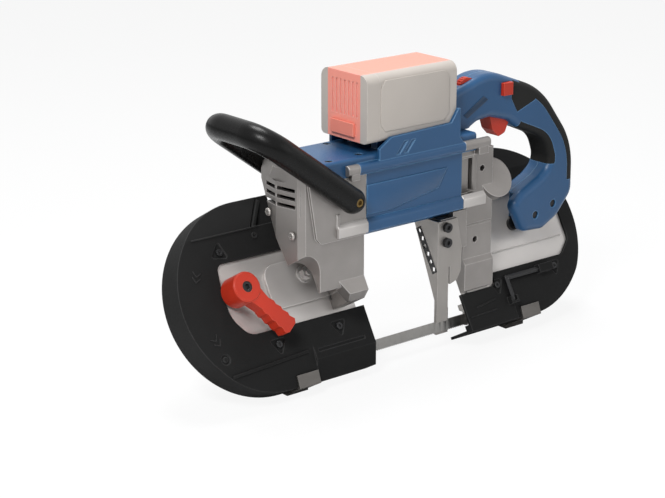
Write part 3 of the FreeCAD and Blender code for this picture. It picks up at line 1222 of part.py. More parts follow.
def battery_cells():
    cells = []
    left = BATTERY_LEFT + BATTERY_CAP + BATTERY_WALL + CELL_RADIUS + 0.3
    pitch_x = 2 * CELL_RADIUS + 0.3
    low = BATTERY_LOW + BATTERY_WALL + 2 + CELL_RADIUS
    pitch_z = BATTERY_HEIGHT - 2 * (BATTERY_WALL + 2) - 2 * CELL_RADIUS
    for i in range(CELL_COLUMNS):
        for j in range(CELL_ROWS):
            x = left + pitch_x * i
            z = low + pitch_z * j / (CELL_ROWS - 1)
            start = Vector(x, BODY_MIDDLE - CELL_LENGTH / 2, z)
            cells.append(rod(start, start + Vector(0, CELL_LENGTH, 0), CELL_RADIUS))
    return Part.makeCompound(cells)


# Handles

def handle_solid():
    """Whole handle with its long edges rounded, cut level where it sits on the cover."""
    solid = upright(HANDLE_LINE, HANDLE_ROUND, HANDLE_FRONT, HANDLE_REAR)
    edges = [edge for edge in solid.Edges if edge.BoundBox.YLength < 0.01]
    solid = solid.makeFillet(HANDLE_SOFTEN, edges)
    return solid.cut(box(0, COLUMN_RIGHT - 18, -200, 200, 0, COVER_TOP))


def handle_core(inset, y_low, y_high):
    face = Part.Face(outline(HANDLE_LINE, HANDLE_ROUND))
    inner = face.makeOffset2D(-inset)
    solid = inner.extrude(Vector(0, 0, y_high - y_low))
    solid.translate(Vector(0, 0, -y_high))
    solid.rotate(Vector(0, 0, 0), Vector(1, 0, 0), 90)
    return solid


def soft_grip():
    solid = handle_solid()
    outer = solid.cut(handle_core(GRIP_OUTER_SKIN, HANDLE_FRONT, HANDLE_REAR))
    outer = outer.common(upright(GRIP_OUTER, 0, HANDLE_FRONT - 1, HANDLE_REAR + 1))
    inner = solid.cut(handle_core(GRIP_SKIN, HANDLE_FRONT, HANDLE_REAR))
    inner = inner.common(upright(GRIP_INNER, 0, HANDLE_FRONT - 1, HANDLE_REAR + 1))
    side = solid.common(upright(GRIP_SIDE, 0, HANDLE_FRONT - 1, HANDLE_REAR + 1))
    side = side.cut(box(0, 2 * SPAN, HANDLE_FRONT + GRIP_SIDE_SKIN, HANDLE_REAR - GRIP_SIDE_SKIN, 0, 400))
    return fuse([outer] + side.Solids), inner


def handle_foot():
    """Block that carries the lower end of the handle on the leaning deck."""
    foot = upright([(346, 104), (346, 84), (356, 82), (370, 92), (376, 104)], 0, BODY_MIDDLE, 56)
    top = deck(box(0, 2 * SPAN, 118, 200, REAR_FACE, REAR_SKIN + 1))
    return foot.cut(deck_side(-BLADE_LENGTH, REAR_FACE)).cut(top)


def handle_body():
    solid = fuse([handle_solid(), handle_foot()])
    solid = solid.cut(deck_side(-BLADE_LENGTH, REAR_FACE))
    core = handle_core(HANDLE_WALL, HANDLE_FRONT + HANDLE_WALL, HANDLE_REAR - HANDLE_WALL)
    solid = solid.cut(core.cut(box(0, 2 * SPAN, -200, 200, 0, FOOT_SOLID_TOP)))
    solid = solid.cut(box(290, SPAN + SHAFT_SCREW_SIDE, 8, 60, 70, FOOT_SOLID_TOP))
    for strip in soft_grip():
        solid = solid.cut(strip)
    screw_room = box(0, SPAN + SHAFT_SCREW_SIDE + 9, CENTRE + SHAFT_SCREW_RISE - 9, CENTRE + SHAFT_SCREW_RISE + 9,
                     REAR_FACE, REAR_FACE + 14)
    solid = solid.cut(deck(screw_room))
    room = SLIDE_GAP
    solid = solid.cut(upright(TRIGGER_LINE, 0, BODY_MIDDLE - TRIGGER_WIDTH / 2 - room,
                              BODY_MIDDLE + TRIGGER_WIDTH / 2 + room))
    lift = TRIGGER_AXIS * TRIGGER_TRAVEL
    moved = [(x + lift.x, z + lift.z) for x, z in TRIGGER_LINE]
    solid = solid.cut(upright(moved, 0, BODY_MIDDLE - TRIGGER_WIDTH / 2 - room,
                              BODY_MIDDLE + TRIGGER_WIDTH / 2 + room))
    lock_room = box(LOCK_X - room, LOCK_X + LOCK_SIZE + room, HANDLE_FRONT - 1, LOCK_REAR + LOCK_TRAVEL,
                    LOCK_Z - room, LOCK_Z + LOCK_SIZE + room)
    solid = solid.cut(lock_room)
    dial_room = rod(Vector(DIAL_X, DIAL_Y - room, DIAL_Z), Vector(DIAL_X, DIAL_Y + DIAL_WIDTH + room, DIAL_Z),
                    DIAL_RADIUS + RUN_GAP)
    solid = solid.cut(dial_room)
    for x, z in FOOT_BOLTS:
        solid = solid.cut(rod(Vector(x, HANDLE_FRONT, z), Vector(x, HANDLE_FRONT + 6, z), FOOT_BOLT_RADIUS))
    return solid


def handle_left():
    return handle_body().cut(box(0, 2 * SPAN, BODY_MIDDLE, BLADE_LENGTH, 0, BLADE_LENGTH))


def handle_right():
    return handle_body().cut(box(0, 2 * SPAN, -BLADE_LENGTH, BODY_MIDDLE, 0, BLADE_LENGTH))


def handle_bolts():
    bolts = []
    for x, z in FOOT_BOLTS:
        start = Vector(x, HANDLE_FRONT + 6, z)
        bolts.append(rod(start, start - Vector(0, 4.5, 0), FOOT_BOLT_RADIUS - 0.4))
    return Part.makeCompound(bolts)


def trigger():
    half = TRIGGER_WIDTH / 2
    return upright(TRIGGER_LINE, [2, 2, 4, 4, 2, 2], BODY_MIDDLE - half, BODY_MIDDLE + half)


def lock_button():
    return box(LOCK_X, LOCK_X + LOCK_SIZE, HANDLE_FRONT - 4, LOCK_REAR, LOCK_Z, LOCK_Z + LOCK_SIZE)


def speed_dial():
    start = Vector(DIAL_X, DIAL_Y, DIAL_Z)
    dial = rod(start, start + Vector(0, DIAL_WIDTH, 0), DIAL_RADIUS)
    for i in range(24):
        notch = box(-0.5, 0.5, DIAL_Y, DIAL_Y + DIAL_WIDTH, DIAL_RADIUS - 0.8, DIAL_RADIUS + 1)
        notch.rotate(Vector(0, 0, 0), Vector(0, 1, 0), 15 * i)
        notch.translate(Vector(DIAL_X, 0, DIAL_Z))
        dial = dial.cut(notch)
    return dial


def switch_module():
    return box(262, 282, HANDLE_FRONT + HANDLE_WALL, HANDLE_REAR - HANDLE_WALL, 228, 246)


def bail_sides():
    """Middle of the bail's two arms across the saw: each arm is cut flat where it lies on the head."""
    near = BODY_FRONT - BAIL_RADIUS + BAIL_FLAT
    return near, 2 * BODY_MIDDLE - near


def front_bail():
    """Round bar bent into a U, swept along three straight runs and two bends."""
    near, far = bail_sides()
    along = (Vector(BAIL_BOLT_X, 0, BAIL_BOLT_Z) - Vector(BAIL_X, 0, BAIL_Z)).normalize()
    near_end = Vector(BAIL_BOLT_X, near, BAIL_BOLT_Z)
    far_end = Vector(BAIL_BOLT_X, far, BAIL_BOLT_Z)
    near_corner = Vector(BAIL_X, near, BAIL_Z)
    far_corner = Vector(BAIL_X, far, BAIL_Z)
    across = Vector(0, 1, 0)
    inset = BAIL_BEND * (1 - math.sqrt(0.5))
    near_middle = near_corner + (along + across) * inset
    far_middle = far_corner + (along - across) * inset
    path = Part.Wire([
        Part.makeLine(near_end, near_corner + along * BAIL_BEND),
        Part.Arc(near_corner + along * BAIL_BEND, near_middle, near_corner + across * BAIL_BEND).toShape(),
        Part.makeLine(near_corner + across * BAIL_BEND, far_corner - across * BAIL_BEND),
        Part.Arc(far_corner - across * BAIL_BEND, far_middle, far_corner + along * BAIL_BEND).toShape(),
        Part.makeLine(far_corner + along * BAIL_BEND, far_end)])
    section = Part.Wire(Part.makeCircle(BAIL_RADIUS, near_end, along))
    bar = path.makePipeShell([section], True, True)
    knobs = [Part.makeSphere(BAIL_RADIUS + BALL_PROUD, end) for end in (near_end, far_end)]
    bail = fuse([bar] + knobs)
    head_room = box(HEAD_LEFT - 20, HEAD_RIGHT, BODY_FRONT, BODY_REAR, BODY_LOW, BAIL_Z)
    bail = bail.cut(head_room)
    for y, side in ((near, -1), (far, 1)):
        face = Vector(BAIL_BOLT_X, y + side * (BAIL_RADIUS - BAIL_BOLT_SINK), BAIL_BOLT_Z)
        bail = bail.cut(rod(face, face + Vector(0, side * 2 * BAIL_BOLT_SINK, 0), BAIL_BOLT_RADIUS + RUN_GAP))
    return bail


def bail_bolts():
    near, far = bail_sides()
    bolts = []
    for y, side in ((near, -1), (far, 1)):
        face = Vector(BAIL_BOLT_X, y + side * (BAIL_RADIUS - BAIL_BOLT_SINK), BAIL_BOLT_Z)
        bolts.append(rod(face, face + Vector(0, side * BAIL_BOLT_HEIGHT, 0), BAIL_BOLT_RADIUS))
    return Part.makeCompound(bolts)


# Blade guides and work stop

def roller(x, side):
    y = side * (BLADE_THICK / 2 + RUN_GAP + ROLLER_RADIUS)
    low = Vector(x, y, -ROLLER_HEIGHT / 2)
    high = Vector(x, y, ROLLER_HEIGHT / 2)
    return tube(low, high, ROLLER_RADIUS, ROLLER_PIN_RADIUS + SHAFT_GAP)


def blade_guide(x, face_n, low_w):
    """Guide arm behind the deck, with two pins that the rollers turn on."""
    reach = BLADE_THICK / 2 + RUN_GAP + ROLLER_RADIUS
    yoke_low = ROLLER_HEIGHT / 2 + RUN_GAP
    yoke = box(x - 5, x + 5, -reach - 2.5, reach + 5, yoke_low + 1.2, yoke_low + 1.2 + GUIDE_THICK)
    stem = deck(box(x - 5, x + 5, 8, low_w + 16, face_n - 6, face_n))
    link = deck(box(x - 5, x + 5, 10, 16, -4, face_n))
    pieces = [yoke, stem, link]
    for side in (-1, 1):
        y = side * reach
        pin = rod(Vector(x, y, -ROLLER_HEIGHT / 2 - 2.5), Vector(x, y, yoke_low + 2), ROLLER_PIN_RADIUS)
        collar = rod(Vector(x, y, -ROLLER_HEIGHT / 2 - 2.5), Vector(x, y, -ROLLER_HEIGHT / 2 - RUN_GAP), 2.6)
        pieces += [pin, collar]
    return fuse(pieces)


def front_guide():
    return blade_guide(GUIDE_FRONT_X, DECK_BACK, DECK_LOW)


def rear_guide():
    return blade_guide(GUIDE_REAR_X, REAR_DECK_BACK, 24)


def work_stop():
    strip_right = STOP_X + 15
    wing_left = strip_right + STOP_SLOT
    front = upright([(STOP_X, STOP_LOW), (strip_right, STOP_LOW), (strip_right, STOP_SLOT_TOP),
                     (wing_left, STOP_SLOT_TOP), (wing_left, 49), (STOP_X + 27, 52),
                     (STOP_X + STOP_WIDTH - 1, 61), (STOP_X + STOP_WIDTH, 86), (STOP_X + 26, STOP_HIGH),
                     (STOP_X, STOP_HIGH)], 0, STOP_FRONT, STOP_FRONT + STOP_THICK)
    tab_back = TAB_FRONT + STOP_THICK
    jaw = lengthwise([(STOP_FRONT, STOP_LOW), (STOP_FRONT, STOP_HIGH), (27, STOP_HIGH), (STOP_FRONT + 4, 34),
                      (STOP_FRONT + 4, STOP_LOW)], 0, STOP_X, STOP_X + JAW_THICK)
    tab = box(TAB_LEFT, TAB_RIGHT, TAB_FRONT, tab_back, STOP_TIP, TAB_HIGH)
    rib = box(TAB_LEFT, TAB_LEFT + STOP_THICK, STOP_FRONT, tab_back, STOP_LOW, TAB_HIGH + 6)
    stop = fuse([front, jaw, tab, rib])
    for i in range(STOP_HOLES):
        y = -6 + 4.4 * i
        z = 67 + 7.2 * i
        if i % 2:
            hole = rod(Vector(STOP_X, y, z), Vector(STOP_X + JAW_THICK, y, z), JAW_HOLE / 2)
        else:
            hole = box(STOP_X, STOP_X + JAW_THICK, y - JAW_HOLE / 2, y + JAW_HOLE / 2,
                       z - JAW_HOLE / 2, z + JAW_HOLE / 2)
        stop = stop.cut(hole)
    return stop


def stop_bolts():
    bolts = []
    for z in STOP_BOLTS:
        start = Vector(STOP_X + STOP_BOLT_SIDE, STOP_FRONT, z)
        head = rod(start, start - Vector(0, 4, 0), 5)
        socket = rod(start - Vector(0, 2, 0), start - Vector(0, 4, 0), 2.4)
        bolts.append(head.cut(socket))
    return Part.makeCompound(bolts)


# Export

def grip_pair():
    outer, inner = soft_grip()
    return Part.makeCompound([outer, inner])


PIECES = {
    "main_frame": main_frame, "front_guard": front_guard, "rear_guard": rear_guard,
    "guard_screws": guard_screws, "support_shoes": support_shoes, "hex_key": hex_key, "blade": blade,
    "idler_wheel": idler_wheel, "idler_tyre": lambda: tyre(0), "idler_bearings": idler_bearings,
    "idler_axle": idler_axle, "drive_wheel": drive_wheel, "drive_tyre": lambda: tyre(SPAN),
    "drive_shaft": drive_shaft, "drive_gear": drive_gear, "layshaft": layshaft,
    "bevel_gear": bevel_gear, "bevel_pinion": bevel_pinion, "rotor": rotor, "cooling_fan": cooling_fan,
    "stator": stator, "shaft_bearings": shaft_bearings, "shaft_screw": shaft_screw,
    "tension_carriage": tension_carriage, "tracking_bolt": tracking_bolt, "lever_cam": lever_cam,
    "tension_lever": tension_lever, "lever_screw": lever_screw, "motor_head": motor_head,
    "head_screws": head_screws, "gear_case": gear_case, "housing_front": housing_front,
    "housing_rear": housing_rear, "top_cover": top_cover, "cover_screws": cover_screws,
    "control_board": control_board, "terminal_block": terminal_block, "battery_case": battery_case,
    "battery_cap": battery_cap, "battery_cells": battery_cells, "battery_button": battery_button,
    "handle_left": handle_left, "handle_right": handle_right, "soft_grip": grip_pair,
    "handle_bolts": handle_bolts, "trigger": trigger, "lock_button": lock_button,
    "speed_dial": speed_dial, "switch_module": switch_module, "front_bail": front_bail,
    "bail_bolts": bail_bolts, "front_guide": front_guide, "rear_guide": rear_guide,
    "front_roller_near": lambda: roller(GUIDE_FRONT_X, -1), "front_roller_far": lambda: roller(GUIDE_FRONT_X, 1),
    "rear_roller_near": lambda: roller(GUIDE_REAR_X, -1), "rear_roller_far": lambda: roller(GUIDE_REAR_X, 1),
    "work_stop": work_stop, "stop_bolts": stop_bolts,
}

SHAPES = {name: make() for name, make in PIECES.items()}
WHOLE = Part.makeCompound(list(SHAPES.values())).optimalBoundingBox()
SHIFT = Vector(-(WHOLE.XMin + WHOLE.XMax) / 2, -(WHOLE.YMin + WHOLE.YMax) / 2, -WHOLE.ZMin)

os.makedirs("parts", exist_ok=True)
for name, shape in SHAPES.items():
    placed = shape.copy()
    placed.translate(SHIFT)
    placed.exportStep("parts/" + name + ".step")
    print(name, "solids", len(placed.Solids), "valid", placed.isValid(), "cm3", round(placed.Volume / 1000, 2))
print("shift", SHIFT, "size", WHOLE.XLength, WHOLE.YLength, WHOLE.ZLength)
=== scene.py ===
import bpy
import json
import math
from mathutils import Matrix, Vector


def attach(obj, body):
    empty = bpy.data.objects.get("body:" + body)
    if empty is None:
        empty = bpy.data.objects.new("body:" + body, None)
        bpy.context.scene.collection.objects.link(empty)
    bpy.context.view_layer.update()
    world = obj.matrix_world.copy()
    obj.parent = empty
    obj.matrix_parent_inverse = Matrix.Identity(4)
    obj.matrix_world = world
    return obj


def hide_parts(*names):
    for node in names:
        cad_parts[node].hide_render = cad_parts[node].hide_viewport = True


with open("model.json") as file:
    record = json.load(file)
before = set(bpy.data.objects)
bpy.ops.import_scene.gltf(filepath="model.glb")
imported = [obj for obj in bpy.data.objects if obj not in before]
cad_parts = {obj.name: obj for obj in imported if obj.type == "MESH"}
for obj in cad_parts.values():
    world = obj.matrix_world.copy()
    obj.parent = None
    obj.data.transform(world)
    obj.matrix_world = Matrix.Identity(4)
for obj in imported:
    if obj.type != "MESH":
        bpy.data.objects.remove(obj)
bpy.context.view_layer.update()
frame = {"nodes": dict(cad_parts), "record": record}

# Sizes repeated from the part, in millimetres, in the frame where the cut runs along Y = 0, Z = 0
SHIFT = Vector((-162.48817, -29.94247, 27.02661))
LEAN = math.radians(30)
WHEEL_RADIUS = 77.0
WHEEL_PLANE = -5.0
BLADE_WIDTH = 12.7
BLADE_THICK = 0.65
SPAN = 327.0765
TWIST_LEAD = 20.0
UPRIGHT_LEFT = 93.6
UPRIGHT_RIGHT = 251.4
GUARD_SKIN = 13.5
REAR_SKIN = 20.0
BODY_FRONT = -20.0
BODY_MIDDLE = 14.0
HANDLE_FRONT = -3.0
COLUMN_FACE = -4.0
STOP_X = 190.0
JAW_HOLE = 4.8
HEAD_NOSE = 6.0
NOSE_MIDDLE = 16.0
NOSE_SLOPE = 0.22
VENT_CHAMBER = ((48.0, 14.5, 170.5), (35.2, 27.8, 13.8))

# Directions: out of the leaning deck, up along it, off the front guard's low face, and along the axes
OUT = Vector((0, -math.cos(LEAN), math.sin(LEAN)))
UP_DECK = Vector((0, math.sin(LEAN), math.cos(LEAN)))
LOW_FACE = Vector((0, -0.9435, 0.3313))
TO_LEFT = Vector((-1, 0, 0))
TO_RIGHT = Vector((1, 0, 0))
TO_FRONT = Vector((0, -1, 0))
TO_BACK = Vector((0, 1, 0))


def place(x, y, z):
    """Millimetres in the frame of the cut to metres in the part's frame."""
    return (Vector((x, y, z)) + SHIFT) / 1000


def on_deck(x, w, n):
    """Along the saw, up the leaning deck and out of it, to metres in the part's frame."""
    return place(x, w * math.sin(LEAN) - n * math.cos(LEAN), w * math.cos(LEAN) + n * math.sin(LEAN))


# Colours and nodes

def linear(code):
    """sRGB hex to the linear colour that a shader takes."""
    channels = []
    for start in (0, 2, 4):
        value = int(code[start:start + 2], 16) / 255
        channels.append(value / 12.92 if value <= 0.04045 else ((value + 0.055) / 1.055) ** 2.4)
    return (channels[0], channels[1], channels[2], 1.0)


def put(tree, kind, values, links):
    """Adds a node, sets its sockets or settings by name and links outputs to its sockets."""
    node = tree.nodes.new("ShaderNode" + kind)
    for name, value in values.items():
        if isinstance(name, int) or name in node.inputs:
            node.inputs[name].default_value = value
        else:
            setattr(node, name, value)
    for name, source in links.items():
        tree.links.new(source, node.inputs[name])
    return node


def start_material(name):
    """A new material with an empty node tree."""
    material = bpy.data.materials.new(name)
    material.use_nodes = True
    material.node_tree.nodes.clear()
    return material, material.node_tree


# Clouds in the tone of plastics and of metals, the soft seam between two shots, in mm, and painted chamber
# shade
FLOW_CLOUD = 45
METAL_CLOUD = 30
SEAM = 0.3
CHAMBER_SHADE_BLACK = "0A0A0A"
# An edge starts to pale where its softened normal leaves the face by this cosine, and is palest at the second
PALE_FROM = 0.995
PALE_FULL = 0.86


def clouded_tone(tree, spot, dark, colour, cloud, detail):
    """Body colour that drifts between two tones in soft clouds of a size in mm."""
    drift = put(tree, "TexNoise", {"Scale": 1000 / cloud, "Detail": detail}, {"Vector": spot})
    return put(tree, "MixRGB", {"Color1": linear(dark), "Color2": linear(colour)},
               {"Fac": drift.outputs["Fac"]})


def worn_and_highlit_edges(tree, tone, pale, edge, most):
    """Edges softened over a width in mm and paled up to a share, as wear and a painted highlight: the skin's
    colour and the soft normal.
    """
    soft = put(tree, "Bevel", {"Radius": edge / 1000, "samples": 6}, {})
    flat = put(tree, "NewGeometry", {}, {})
    turn = put(tree, "VectorMath", {"operation": "DOT_PRODUCT"},
               {0: soft.outputs["Normal"], 1: flat.outputs["Normal"]})
    # Wear and painted highlight: the colour pales along every edge, where the softened normal leaves the face
    wear_and_highlight = put(tree, "MapRange", {"From Min": PALE_FROM, "From Max": PALE_FULL, "To Min": 0.0, "To Max": most},
              {"Value": turn.outputs["Value"]})
    skin = put(tree, "MixRGB", {"Color2": linear(pale)},
               {"Fac": wear_and_highlight.outputs["Result"], "Color1": tone.outputs["Color"]})
    return skin, soft


def grained_shader(tree, skin, soft, grain, gloss_range, strength, height, settings):
    """Joins colour, gloss and relief: the grain varies the roughness and stands up by a height in mm."""
    smooth, rough = gloss_range
    gloss = put(tree, "MapRange", {"From Min": 0.3, "From Max": 0.7, "To Min": smooth, "To Max": rough},
                {"Value": grain.outputs["Fac"]})
    bump = put(tree, "Bump", {"Strength": strength, "Distance": height / 1000},
               {"Height": grain.outputs["Fac"], "Normal": soft.outputs["Normal"]})
    shader = put(tree, "BsdfPrincipled", settings,
                 {"Base Color": skin.outputs["Color"], "Roughness": gloss.outputs["Result"],
                  "Normal": bump.outputs["Normal"]})
    put(tree, "OutputMaterial", {}, {"Surface": shader.outputs["BSDF"]})


def moulded(name, colour, pale, dark, rough, shine, grain, height, edge, stripe=None):
    """Moulded plastic: an even body colour with faint flow clouds, spark-eroded grain and edges paled as wear
    and as a painted highlight.

    Grain, its height and the edges are in mm. A stripe is a second shot of another colour along the
    middle: its hex and half width in mm."""
    material, tree = start_material(name)
    spot = put(tree, "TexCoord", {}, {}).outputs["Object"]
    tone = clouded_tone(tree, spot, dark, colour, cloud=FLOW_CLOUD, detail=3.0)
    if stripe:
        shot, half_width = stripe
        axes = put(tree, "SeparateXYZ", {}, {"Vector": spot})
        across = put(tree, "Math", {"operation": "SUBTRACT", 1: place(0, BODY_MIDDLE, 0).y},
                     {0: axes.outputs["Y"]})
        reach = put(tree, "Math", {"operation": "ABSOLUTE"}, {0: across.outputs["Value"]})
        inside = put(tree, "MapRange",
                     {"From Min": half_width / 1000, "From Max": (half_width - SEAM) / 1000},
                     {"Value": reach.outputs["Value"]})
        tone = put(tree, "MixRGB", {"Color2": linear(shot)},
                   {"Fac": inside.outputs["Result"], "Color1": tone.outputs["Color"]})
    specks = put(tree, "TexNoise", {"Scale": 1000 / grain, "Detail": 2.0, "Roughness": 0.6}, {"Vector": spot})
    skin, soft = worn_and_highlit_edges(tree, tone, pale, edge, most=0.55)
    grained_shader(tree, skin, soft, specks, gloss_range=(rough - 0.05, rough + 0.07), strength=0.25,
                   height=height, settings={"IOR": 1.5, "Specular IOR Level": shine})
    return material


def metal(name, colour, pale, dark, metallic, rough, grain, stretch, height, edge, shaded_chamber=None):
    """Bare or plated metal: fine lines or pits, a mottled tone and edges paled brighter, as wear and as a
    painted highlight.

    Grain, its height and the edges are in mm. The shaded chamber is one inside a casting, its middle and half
    sizes in mm, whose walls are coloured near black: painted shade."""
    material, tree = start_material(name)
    spot = put(tree, "TexCoord", {}, {}).outputs["Object"]
    run = put(tree, "Mapping", {"Scale": stretch}, {"Vector": spot})
    pits = put(tree, "TexNoise", {"Scale": 1000 / grain, "Detail": 3.0, "Roughness": 0.55},
               {"Vector": run.outputs["Vector"]})
    tone = clouded_tone(tree, spot, dark, colour, cloud=METAL_CLOUD, detail=2.0)
    skin, soft = worn_and_highlit_edges(tree, tone, pale, edge, most=0.6)
    # Painted shade: inside the chamber the skin is coloured near black, where its walls lie in shade
    if shaded_chamber:
        middle, half_sizes = shaded_chamber
        away = put(tree, "VectorMath", {"operation": "SUBTRACT", 1: place(*middle)}, {0: spot})
        away = put(tree, "VectorMath", {"operation": "DIVIDE", 1: Vector(half_sizes) / 1000},
                   {0: away.outputs["Vector"]})
        away = put(tree, "VectorMath", {"operation": "ABSOLUTE"}, {0: away.outputs["Vector"]})
        axes = put(tree, "SeparateXYZ", {}, {"Vector": away.outputs["Vector"]})
        most = put(tree, "Math", {"operation": "MAXIMUM"}, {0: axes.outputs["X"], 1: axes.outputs["Y"]})
        most = put(tree, "Math", {"operation": "MAXIMUM"}, {0: most.outputs["Value"], 1: axes.outputs["Z"]})
        inside = put(tree, "Math", {"operation": "LESS_THAN", 1: 1.0}, {0: most.outputs["Value"]})
        skin = put(tree, "MixRGB", {"Color2": linear(CHAMBER_SHADE_BLACK)},
                   {"Fac": inside.outputs["Value"], "Color1": skin.outputs["Color"]})
    grained_shader(tree, skin, soft, pits, gloss_range=(rough - 0.06, rough + 0.08), strength=0.3,
                   height=height, settings={"Metallic": metallic})
    return material


# Eroded, blasted, rolled and ground grain is finer than a pixel: it is drawn 1 to 1.6 mm wide to show.
# A stretch below 1 draws the grain out along an axis: lines along the saw, or layers stacked along it
EVEN = (1.0, 1.0, 1.0)
ALONG_SAW = (0.04, 1.0, 1.0)
STACKED = (1.0, 0.05, 0.05)

# Glass-filled nylon, moulded in a spark-eroded tool: nearly black and matt, with a fine grain
guard_nylon = moulded("glass_filled_nylon", "212121", "505050", "181818",
                      rough=0.72, shine=0.1, grain=1.4, height=0.05, edge=1.6)
# Nylon from a polished tool: black, with a satin gleam along the bail's tube
bail_nylon = moulded("satin_nylon", "0B0B0B", "242424", "080808",
                     rough=0.3, shine=0.15, grain=1.6, height=0.02, edge=1.0)
# Soft elastomer moulded over the grip: a dull black that hardly gleams
grip_elastomer = moulded("grip_elastomer", "1D1D1C", "363635", "161615",
                         rough=0.6, shine=0.16, grain=1.2, height=0.08, edge=0.8)
# Blue nylon of the shells, moulded with a light eroded grain: a broad soft gleam and paler rims
shell_nylon = moulded("blue_shell_nylon", "214F79", "6A9CC6", "1C466C",
                      rough=0.36, shine=0.4, grain=1.4, height=0.02, edge=2.0)
# The same nylon moulded darker for the bare panel on the neck, which so stands off the blue round it
dark_blue = moulded("dark_blue_nylon", "183551", "3C6288", "142D46",
                    rough=0.35, shine=0.34, grain=1.4, height=0.02, edge=0.5)
# Acetal of the controls, moulded in a smooth tool: an even red with a soft shine
control_acetal = moulded("red_acetal", "BE3420", "E06A50", "A82B18",
                         rough=0.38, shine=0.3, grain=1.6, height=0.02, edge=0.8)
# ABS of the pack, moulded in two shots: satin, with pale grey sides and a pale red middle
pack_red = moulded("pack_red_abs", "EC8E7C", "F4B4A6", "E48270",
                   rough=0.5, shine=0.25, grain=1.4, height=0.03, edge=0.8)
pack_grey = moulded("pack_two_shot_abs", "BBB4AD", "D8D3CD", "B1AAA3",
                    rough=0.5, shine=0.25, grain=1.4, height=0.03, edge=0.8, stripe=("EE9787", 24.5))
# Aluminium alloy, die-cast and blasted: dull silver grey with a pebbled skin
cast_alloy = metal("blasted_cast_alloy", "8E8A87", "CFCBC8", "7C7875", metallic=0.62,
                   rough=0.4, grain=1.3, stretch=EVEN, height=0.04, edge=1.5)
# The same casting for the head, the walls inside its vent chamber coloured near black as painted shade, so
# the slots look dark
head_alloy = metal("head_alloy_painted_shade", "908C89", "D2CECB", "7E7A77", metallic=0.62,
                   rough=0.4, grain=1.3, stretch=EVEN, height=0.04, edge=1.5, shaded_chamber=VENT_CHAMBER)
# The castings' beads, left smooth by the polished die, with a narrow gleam; their tone is raised as a painted
# highlight
bead_alloy_painted_bright = metal("polished_cast_alloy_painted_bright", "B8B4B1", "E8E5E2", "ACA8A5", metallic=0.5,
                   rough=0.34, grain=1.3, stretch=EVEN, height=0.004, edge=0.3)
# Sheet steel of the deck, rolled and plated: paler and smoother than the castings, lines along the saw
deck_plate = metal("plated_deck_sheet", "C2BEBB", "EEEBE8", "B6B2AF", metallic=0.38,
                   rough=0.34, grain=1.2, stretch=ALONG_SAW, height=0.003, edge=1.0)
# Steel of the small parts, electroplated with zinc: bright and evenly mottled
zinc_plate = metal("zinc_plate", "B4B0AC", "E0DDDA", "A29E9A", metallic=0.75,
                   rough=0.34, grain=1.0, stretch=EVEN, height=0.02, edge=0.5)
# Zinc plate of the tracking bolt with a painted highlight: its tone raised to the brightest metal on the saw,
# for the light on it in the arch
zinc_painted_bright = metal("zinc_plate_painted_bright", "D6D3D0", "F4F2F0", "C6C3C0", metallic=0.35,
                   rough=0.3, grain=1.0, stretch=EVEN, height=0.02, edge=0.5)
# Mild steel of the skids, ground along the saw and dulled by use: a dark, faintly streaked grey
dull_steel = metal("dull_mild_steel", "5E5B58", "A9A6A2", "4E4B48", metallic=0.6,
                   rough=0.4, grain=1.0, stretch=ALONG_SAW, height=0.015, edge=0.5)
# Mild steel of the work stop, ground once: a plain grey with brighter edges
stop_steel = metal("ground_mild_steel", "96928E", "D0CCC8", "86827E", metallic=0.62,
                   rough=0.38, grain=1.0, stretch=EVEN, height=0.015, edge=0.6)
# Strip steel of the blade, ground along its length: fine lines and a clear gleam
blade_steel = metal("ground_strip_steel", "9C9A97", "CFCDCA", "8B8986", metallic=0.9,
                    rough=0.38, grain=1.0, stretch=ALONG_SAW, height=0.01, edge=0.2)
# Steel of screws and key, blackened in an oxide bath: a deep black that still gleams as metal does
black_oxide = metal("black_oxide_steel", "2B2B2C", "565658", "222223", metallic=0.6,
                    rough=0.42, grain=1.0, stretch=EVEN, height=0.01, edge=0.4)
# Zinc plate of the bail's bolts, passivated yellow: a muted brass tone
yellow_zinc = metal("yellow_zinc", "7D6538", "B79C66", "66512B", metallic=0.8,
                    rough=0.4, grain=1.0, stretch=EVEN, height=0.02, edge=0.4)
# Alloy steel of gears and shafts, cut and ground: a clean, even grey sheen
gear_steel = metal("cut_gear_steel", "8C8B8A", "B9B8B6", "7B7A79", metallic=0.9,
                   rough=0.35, grain=1.0, stretch=EVEN, height=0.01, edge=0.4)
# Rubber of the wheels' tyres, moulded and cured: a dull black
tyre_rubber = moulded("tyre_rubber", "232323", "3A3A3A", "1B1B1B",
                      rough=0.7, shine=0.25, grain=1.0, height=0.05, edge=0.6)
# Electrical sheet, stacked and lacquered: grey, with the fine lines of its layers
lamination = metal("lacquered_laminations", "6E6C70", "8D8B8E", "5D5B5F", metallic=0.6,
                   rough=0.5, grain=1.0, stretch=STACKED, height=0.03, edge=0.4)
# Glass and epoxy of the circuit board, pressed and coated: an even, half-glossy green
board_laminate = moulded("board_laminate", "2F5C3C", "4E8060", "28502F",
                         rough=0.4, shine=0.4, grain=1.0, height=0.02, edge=0.4)
# Polymer sleeve shrunk over the cells: a smooth, glossy green
cell_wrap = moulded("cell_shrink_wrap", "4E8C6E", "79B597", "45805F",
                    rough=0.3, shine=0.5, grain=1.2, height=0.02, edge=0.4)
# ABS of fan, switch and terminals, moulded plain: a satin dark grey
dark_abs = moulded("dark_abs", "2B2B2B", "444444", "232323",
                   rough=0.5, shine=0.3, grain=1.2, height=0.03, edge=0.5)

